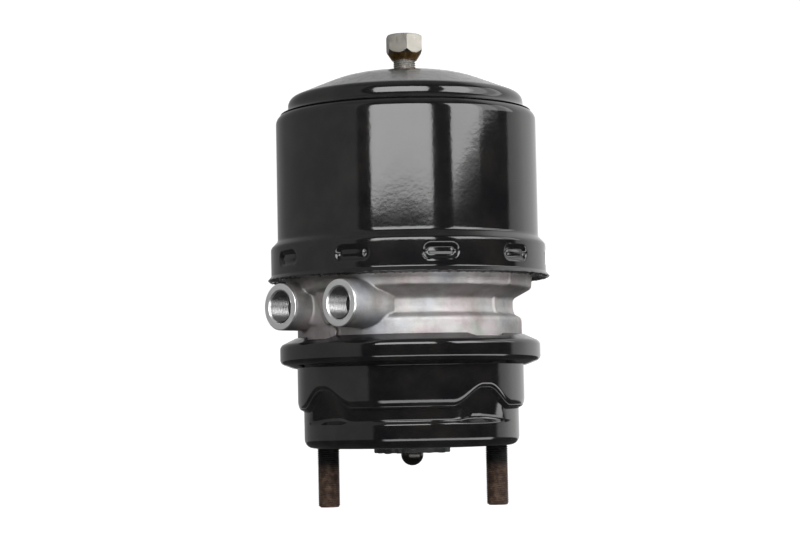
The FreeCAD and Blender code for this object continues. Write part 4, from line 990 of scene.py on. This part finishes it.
def add_parting_line(body):
    """The raised line that the two halves of the mould leave across the waist."""
    size = sizes()
    lift = size.ridge_lift
    rise = size.ceiling
    top = rise + size.rim_rise - 0.5 * MM
    points = [
        (size.casting_bore, rise + size.collar_rise + 1.4 * MM),
        (size.waist_foot_radius + lift, rise + size.waist_foot_rise + 0.5 * MM),
        (size.waist_radius + lift, rise + size.waist_low_rise),
        (size.waist_radius + lift, rise + size.waist_high_rise + 0.2 * MM),
        (size.flare_radius + lift, rise + size.flare_rise + 0.9 * MM),
        (size.skirt_radius + lift, top),
        (size.casting_bore, top),
    ]
    for side in (-1, 1):
        vertices = [(side * across, depth, up) for depth in (-size.ridge_half, size.ridge_half)
                    for across, up in points]
        count = len(points)
        faces = [list(range(count)), list(range(count, 2 * count))[::-1]]
        for index in range(count):
            following = (index + 1) % count
            faces.append([index, following, following + count, index + count][::-1])
        ridge = mesh_from("ridge", vertices, faces, smooth=False)
        ridge.data.transform(Matrix.Rotation(size.ridge_turn, 4, "Z"))
        face_outwards(ridge)
        combine(body, ridge, "UNION")


def make_port_face(name, side, turn):
    """A port's turned face with the chamfer and thread behind it."""
    size = sizes()
    back = size.port_reach - 1.5 * MM
    front = size.port_reach
    floor = front - size.port_depth
    crest = size.port_bore
    edge = size.port_radius - 0.1 * MM
    outline = rounded([
        (crest + 2.2 * MM, back, 0),
        (edge, back, 0),
        (edge, front, 0.7 * MM),
        (crest + 1.8 * MM, front, 0.2 * MM),
        (crest + size.thread_depth, front - 1.2 * MM, 0),
    ])
    ring = turned_piece("ring", divided(outline, 0.7 * MM), 160)
    thread = thread_tube("thread", crest, floor, front - 1.1 * MM, inside=True, side_steps=120)
    air = 4.5 * MM
    end = tube("end", air, crest + 2.3 * MM, floor - 0.8 * MM, floor, 120)
    hole = tube("hole", air, air + 0.1 * MM, floor - 26 * MM, floor, 64)
    # The face's machined finish is made 1.7 times lighter as a painted highlight. The thread's and bore's
    # finish is made 0.45 times as dark as painted shade in the recess.
    painted_highlight_finish = shared_finish("faced_aluminium", machined_finish, 1.7)
    painted_shade_finish = shared_finish("tapped_aluminium", machined_finish, 0.45)
    inside = join_pieces(name + "_thread", [thread, end, hole])
    for piece, material in ((ring, painted_highlight_finish), (inside, painted_shade_finish)):
        towards_port(piece, side * size.port_offset, size.port_height)
        piece.data.transform(turn)
        dress(piece, material, "cast_aluminium", "chamber", "centre_body")
    ring.name = name


def make_body_inside(turn):
    """The machined inside of the centre body: both chambers' floors and the tube's bore."""
    size = sizes()
    deck = size.ceiling + size.deck_rise
    step = size.ceiling + 10.5 * MM
    narrow = 19.6 * MM
    wide = 24 * MM
    edge = 80.5 * MM
    back = size.casting_bore + 0.5 * MM
    outline = rounded([
        (76.5 * MM, BODY_FOOT, 0),
        (69.8 * MM, size.ceiling, 2 * MM),
        (narrow, size.ceiling, 0),
        (narrow, step, 0),
        (wide, step, 0),
        (wide, deck, 0),
        (edge, deck, 2 * MM),
        (edge, deck - 1.5 * MM, 0),
        (back, size.ceiling + 6 * MM, 0),
        (back, BODY_FOOT, 0),
    ])
    piece = turned_piece("centre_body_inside", divided(outline, 4 * MM), 180)
    piece.data.transform(turn)
    machined = shared_finish("machined_aluminium", machined_finish)
    dress(piece, machined, "cast_aluminium", "chamber", "centre_body")


def dress_inner_pieces():
    """Finishes for the frame's own nodes, which stay as the frame has them."""
    steel = plain_finish("plain_steel", tuple(finish().steel), 0.35, 1.0, 700)
    spring = plain_finish("spring_steel", (0.05, 0.05, 0.055), 0.38, 0.4, 800)
    hard = plain_finish("ground_steel", (0.075, 0.072, 0.07), 0.3, 1.0, 500)
    nylon = plain_finish("natural_nylon", tuple(finish().nylon), 0.5, 0.0, 600)
    turned = plain_finish("turned_aluminium", (0.7, 0.7, 0.71), 0.3, 1.0, 900)
    finishes = {
        "plain_steel": steel,
        "spring_steel": spring,
        "hard_steel": hard,
        "nylon": nylon,
        "black_rubber": shared_finish("moulded_rubber", rubber_finish),
        "piston_aluminium": turned,
        "black_coat": shared_finish("stove_enamel", coat_finish),
        "cast_aluminium": turned,
        "stud_steel": steel,
        "zinc_yellow": steel,
    }
    slots = {entry["node"]: entry["material_slot"] for entry in frame["record"]["subparts"]}
    for name, node in frame["nodes"].items():
        if node.hide_render:
            continue
        node.data.materials.clear()
        node.data.materials.append(finishes[slots[name]])


def panel(name, azimuth, low, high, half_angle, distance, brightness, tilt=0.0):
    """A light panel seen from the chamber at an azimuth right of the front."""
    data = bpy.data.lights.new(name, "AREA")
    data.shape = "RECTANGLE"
    data.size = 2 * distance * math.tan(half_angle)
    data.size_y = high - low
    data.energy = brightness * math.pi * data.size * data.size_y
    light = bpy.data.objects.new(name, data)
    bpy.context.scene.collection.objects.link(light)
    away = Vector((math.sin(azimuth), -math.cos(azimuth), 0))
    light.location = away * distance + Vector((0, 0, (low + high) / 2))
    facing = away.to_track_quat("Z", "Y").to_matrix().to_4x4()
    light.matrix_world = Matrix.Translation(light.location) @ facing @ Matrix.Rotation(tilt, 4, "Z")
    light.visible_camera = False


def make_world():
    """A room with a grey left, a pale right and a dark front, where the camera and panels stand."""
    world = bpy.data.worlds.new("studio")
    bpy.context.scene.world = world
    world.use_nodes = True
    tree = world.node_tree
    nodes = tree.nodes
    links = tree.links

    def grade(source, low, high, one, other):
        """One value below low and the other above high, each a number or a socket."""
        node = nodes.new("ShaderNodeMapRange")
        node.interpolation_type = "SMOOTHSTEP"
        for socket, value in (("From Min", low), ("From Max", high)):
            node.inputs[socket].default_value = value
        for socket, value in (("To Min", one), ("To Max", other)):
            if isinstance(value, bpy.types.NodeSocket):
                links.new(value, node.inputs[socket])
            else:
                node.inputs[socket].default_value = value
        links.new(source, node.inputs["Value"])
        return node.outputs["Result"]

    place = nodes.new("ShaderNodeTexCoord")
    facing = nodes.new("ShaderNodeVectorRotate")
    facing.rotation_type = "Z_AXIS"
    facing.inputs["Angle"].default_value = math.pi / 2 - studio().camera_azimuth
    links.new(place.outputs["Generated"], facing.inputs["Vector"])
    parts = nodes.new("ShaderNodeSeparateXYZ")
    links.new(facing.outputs["Vector"], parts.inputs["Vector"])
    turn = math_node(tree, "ARCTAN2", parts.outputs["Y"], parts.outputs["X"])
    azimuth = math_node(tree, "DIVIDE", turn, 2 * math.pi)
    stops = [(0.5 + degrees / 360, value) for degrees, value in ROOM_WALLS]
    walls = ramp_node(tree, math_node(tree, "ADD", azimuth, 0.5), stops)
    height = parts.outputs["Z"]
    brightness = math_node(tree, "MULTIPLY", walls, WALL_LIGHT)
    brightness = grade(height, *CEILING_HEIGHTS, brightness, CEILING_LIGHT)
    from_middle = math_node(tree, "SUBTRACT", azimuth, TABLE_MIDDLE / 360)
    from_middle = math_node(tree, "ABSOLUTE", from_middle)
    near, far = TABLE_ENDS
    in_front = grade(from_middle, far / 360, near / 360, 0, 1)
    table = math_node(tree, "MAXIMUM", math_node(tree, "MULTIPLY", in_front, TABLE_LIGHT), FLOOR_LIGHT)
    under = grade(height, *TABLE_FOOT, FLOOR_LIGHT, table)
    brightness = grade(height, *TABLE_TOP, under, brightness)
    path = nodes.new("ShaderNodeLightPath")
    brightness = grade(path.outputs["Is Camera Ray"], 0.0, 1.0, brightness, 1.0)
    links.new(brightness, nodes["Background"].inputs["Strength"])
    nodes["Background"].inputs["Color"].default_value = (1, 1, 1, 1)


def make_floor():
    """A pale floor that curves up behind the chamber."""
    reach = 6.0
    bend = 1.5
    start = 2.2
    steps = 12
    rows = [(-reach, 0.0), (start, 0.0)]
    for step in range(1, steps + 1):
        turn = math.radians(90) * step / steps
        rows.append((start + bend * math.sin(turn), bend * (1 - math.cos(turn))))
    rows.append((start + bend, reach))
    foot = STUD_TIP - studio().floor_gap
    vertices = [(side * reach, along, foot + up) for along, up in rows for side in (-1, 1)]
    faces = [(2 * row, 2 * row + 1, 2 * row + 3, 2 * row + 2) for row in range(len(rows) - 1)]
    floor = mesh_from("floor", vertices, faces)
    look = Finish("pale_floor")
    look.join(look.ramp(look.noise(2, 2), [(0.3, 0.5), (0.7, 0.52)]), "Base Color")
    look.set(roughness=0.9, emission_color=(1, 1, 1, 1), emission_strength=0.8)
    floor.data.materials.append(look.material)
    floor.visible_glossy = False


def make_camera():
    """The camera at the photograph's place, looking slightly up."""
    place = studio()
    data = bpy.data.cameras.new("camera")
    data.sensor_width = SENSOR_WIDTH
    data.lens = place.focal_pixels * SENSOR_WIDTH / IMAGE_WIDTH
    data.clip_end = 50
    camera = bpy.data.objects.new("camera", data)
    bpy.context.scene.collection.objects.link(camera)
    bpy.context.scene.camera = camera
    heading = place.camera_azimuth + place.camera_turn
    ahead = Vector((-math.sin(heading) * math.cos(place.camera_pitch),
                    math.cos(heading) * math.cos(place.camera_pitch), math.sin(place.camera_pitch)))
    right = ahead.cross(Vector((0, 0, 1))).normalized()
    up = right.cross(ahead)
    roll = place.camera_roll
    up, right = up * math.cos(roll) + right * math.sin(roll), right * math.cos(roll) - up * math.sin(roll)
    facing = Matrix((right, up, -ahead)).transposed().to_4x4()
    stand = Vector((math.sin(place.camera_azimuth), -math.cos(place.camera_azimuth), 0))
    stand = stand * place.camera_distance + Vector((0, 0, place.camera_height))
    camera.matrix_world = Matrix.Translation(stand) @ facing


def make_studio():
    """The stage: light panels, room, floor and camera."""
    view = studio().camera_azimuth
    for name, middle, half, low, high, share, tilt in LIGHT_PANELS:
        panel(name, view + math.radians(middle), low, high, math.radians(half), PANEL_DISTANCE,
              studio().panel_light * share, math.radians(tilt))
    make_world()
    make_floor()
    make_camera()
    settings = bpy.context.scene.view_settings
    settings.view_transform = "Standard"
    settings.look = "None"


class CHAMBER_OT_spring_housing(bpy.types.Operator):
    """Make the pressed and crimped cap"""
    bl_idname = "chamber.spring_housing"
    bl_label = "Spring Housing"

    def execute(self, context):
        make_spring_housing()
        return {"FINISHED"}


class CHAMBER_OT_service_housing(bpy.types.Operator):
    """Make the pressed cup"""
    bl_idname = "chamber.service_housing"
    bl_label = "Service Housing"

    def execute(self, context):
        make_service_housing()
        return {"FINISHED"}


class CHAMBER_OT_clamp_ring(bpy.types.Operator):
    """Make the ring round the joint"""
    bl_idname = "chamber.clamp_ring"
    bl_label = "Clamp Ring"

    def execute(self, context):
        make_clamp_ring()
        return {"FINISHED"}


class CHAMBER_OT_centre_body(bpy.types.Operator):
    """Make the casting with its ports"""
    bl_idname = "chamber.centre_body"
    bl_label = "Centre Body"

    def execute(self, context):
        make_centre_body()
        return {"FINISHED"}


class CHAMBER_OT_mounting_studs(bpy.types.Operator):
    """Make the two threaded studs"""
    bl_idname = "chamber.mounting_studs"
    bl_label = "Mounting Studs"

    def execute(self, context):
        make_mounting_studs()
        return {"FINISHED"}


class CHAMBER_OT_release_bolt(bpy.types.Operator):
    """Make the release bolt and its nut"""
    bl_idname = "chamber.release_bolt"
    bl_label = "Release Bolt"

    def execute(self, context):
        make_release_bolt()
        return {"FINISHED"}


class CHAMBER_OT_mouth_seal(bpy.types.Operator):
    """Make the rubber seal under the cup"""
    bl_idname = "chamber.mouth_seal"
    bl_label = "Mouth Seal"

    def execute(self, context):
        make_mouth_seal()
        return {"FINISHED"}


class CHAMBER_OT_inner_pieces(bpy.types.Operator):
    """Give the frame's other nodes their finishes"""
    bl_idname = "chamber.inner_pieces"
    bl_label = "Inner Pieces"

    def execute(self, context):
        dress_inner_pieces()
        return {"FINISHED"}


class CHAMBER_OT_studio(bpy.types.Operator):
    """Make the floor, the lights and the camera"""
    bl_idname = "chamber.studio"
    bl_label = "Studio"

    def execute(self, context):
        make_studio()
        return {"FINISHED"}


OPERATORS = [
    CHAMBER_OT_spring_housing,
    CHAMBER_OT_service_housing,
    CHAMBER_OT_clamp_ring,
    CHAMBER_OT_centre_body,
    CHAMBER_OT_mounting_studs,
    CHAMBER_OT_release_bolt,
    CHAMBER_OT_mouth_seal,
    CHAMBER_OT_inner_pieces,
    CHAMBER_OT_studio,
]


class CHAMBER_PT_panel(bpy.types.Panel):
    """Lists what makes the chamber."""
    bl_idname = "CHAMBER_PT_panel"
    bl_label = "Brake chamber"
    bl_space_type = "VIEW_3D"
    bl_region_type = "UI"
    bl_category = "Chamber"

    def draw(self, context):
        for operator in OPERATORS:
            self.layout.operator(operator.bl_idname)


CLASSES = [ChamberSizes, ChamberFinish, ChamberStudio, *OPERATORS, CHAMBER_PT_panel]


def register():
    for item in CLASSES:
        bpy.utils.register_class(item)
    bpy.types.Scene.chamber_sizes = PointerProperty(type=ChamberSizes)
    bpy.types.Scene.chamber_finish = PointerProperty(type=ChamberFinish)
    bpy.types.Scene.chamber_studio = PointerProperty(type=ChamberStudio)


def unregister():
    del bpy.types.Scene.chamber_sizes
    del bpy.types.Scene.chamber_finish
    del bpy.types.Scene.chamber_studio
    for item in reversed(CLASSES):
        bpy.utils.unregister_class(item)


def main():
    """Make everything in order."""
    register()
    for operator in OPERATORS:
        getattr(bpy.ops.chamber, operator.bl_idname.split(".")[1])()


if __name__ == "__main__":
    main()
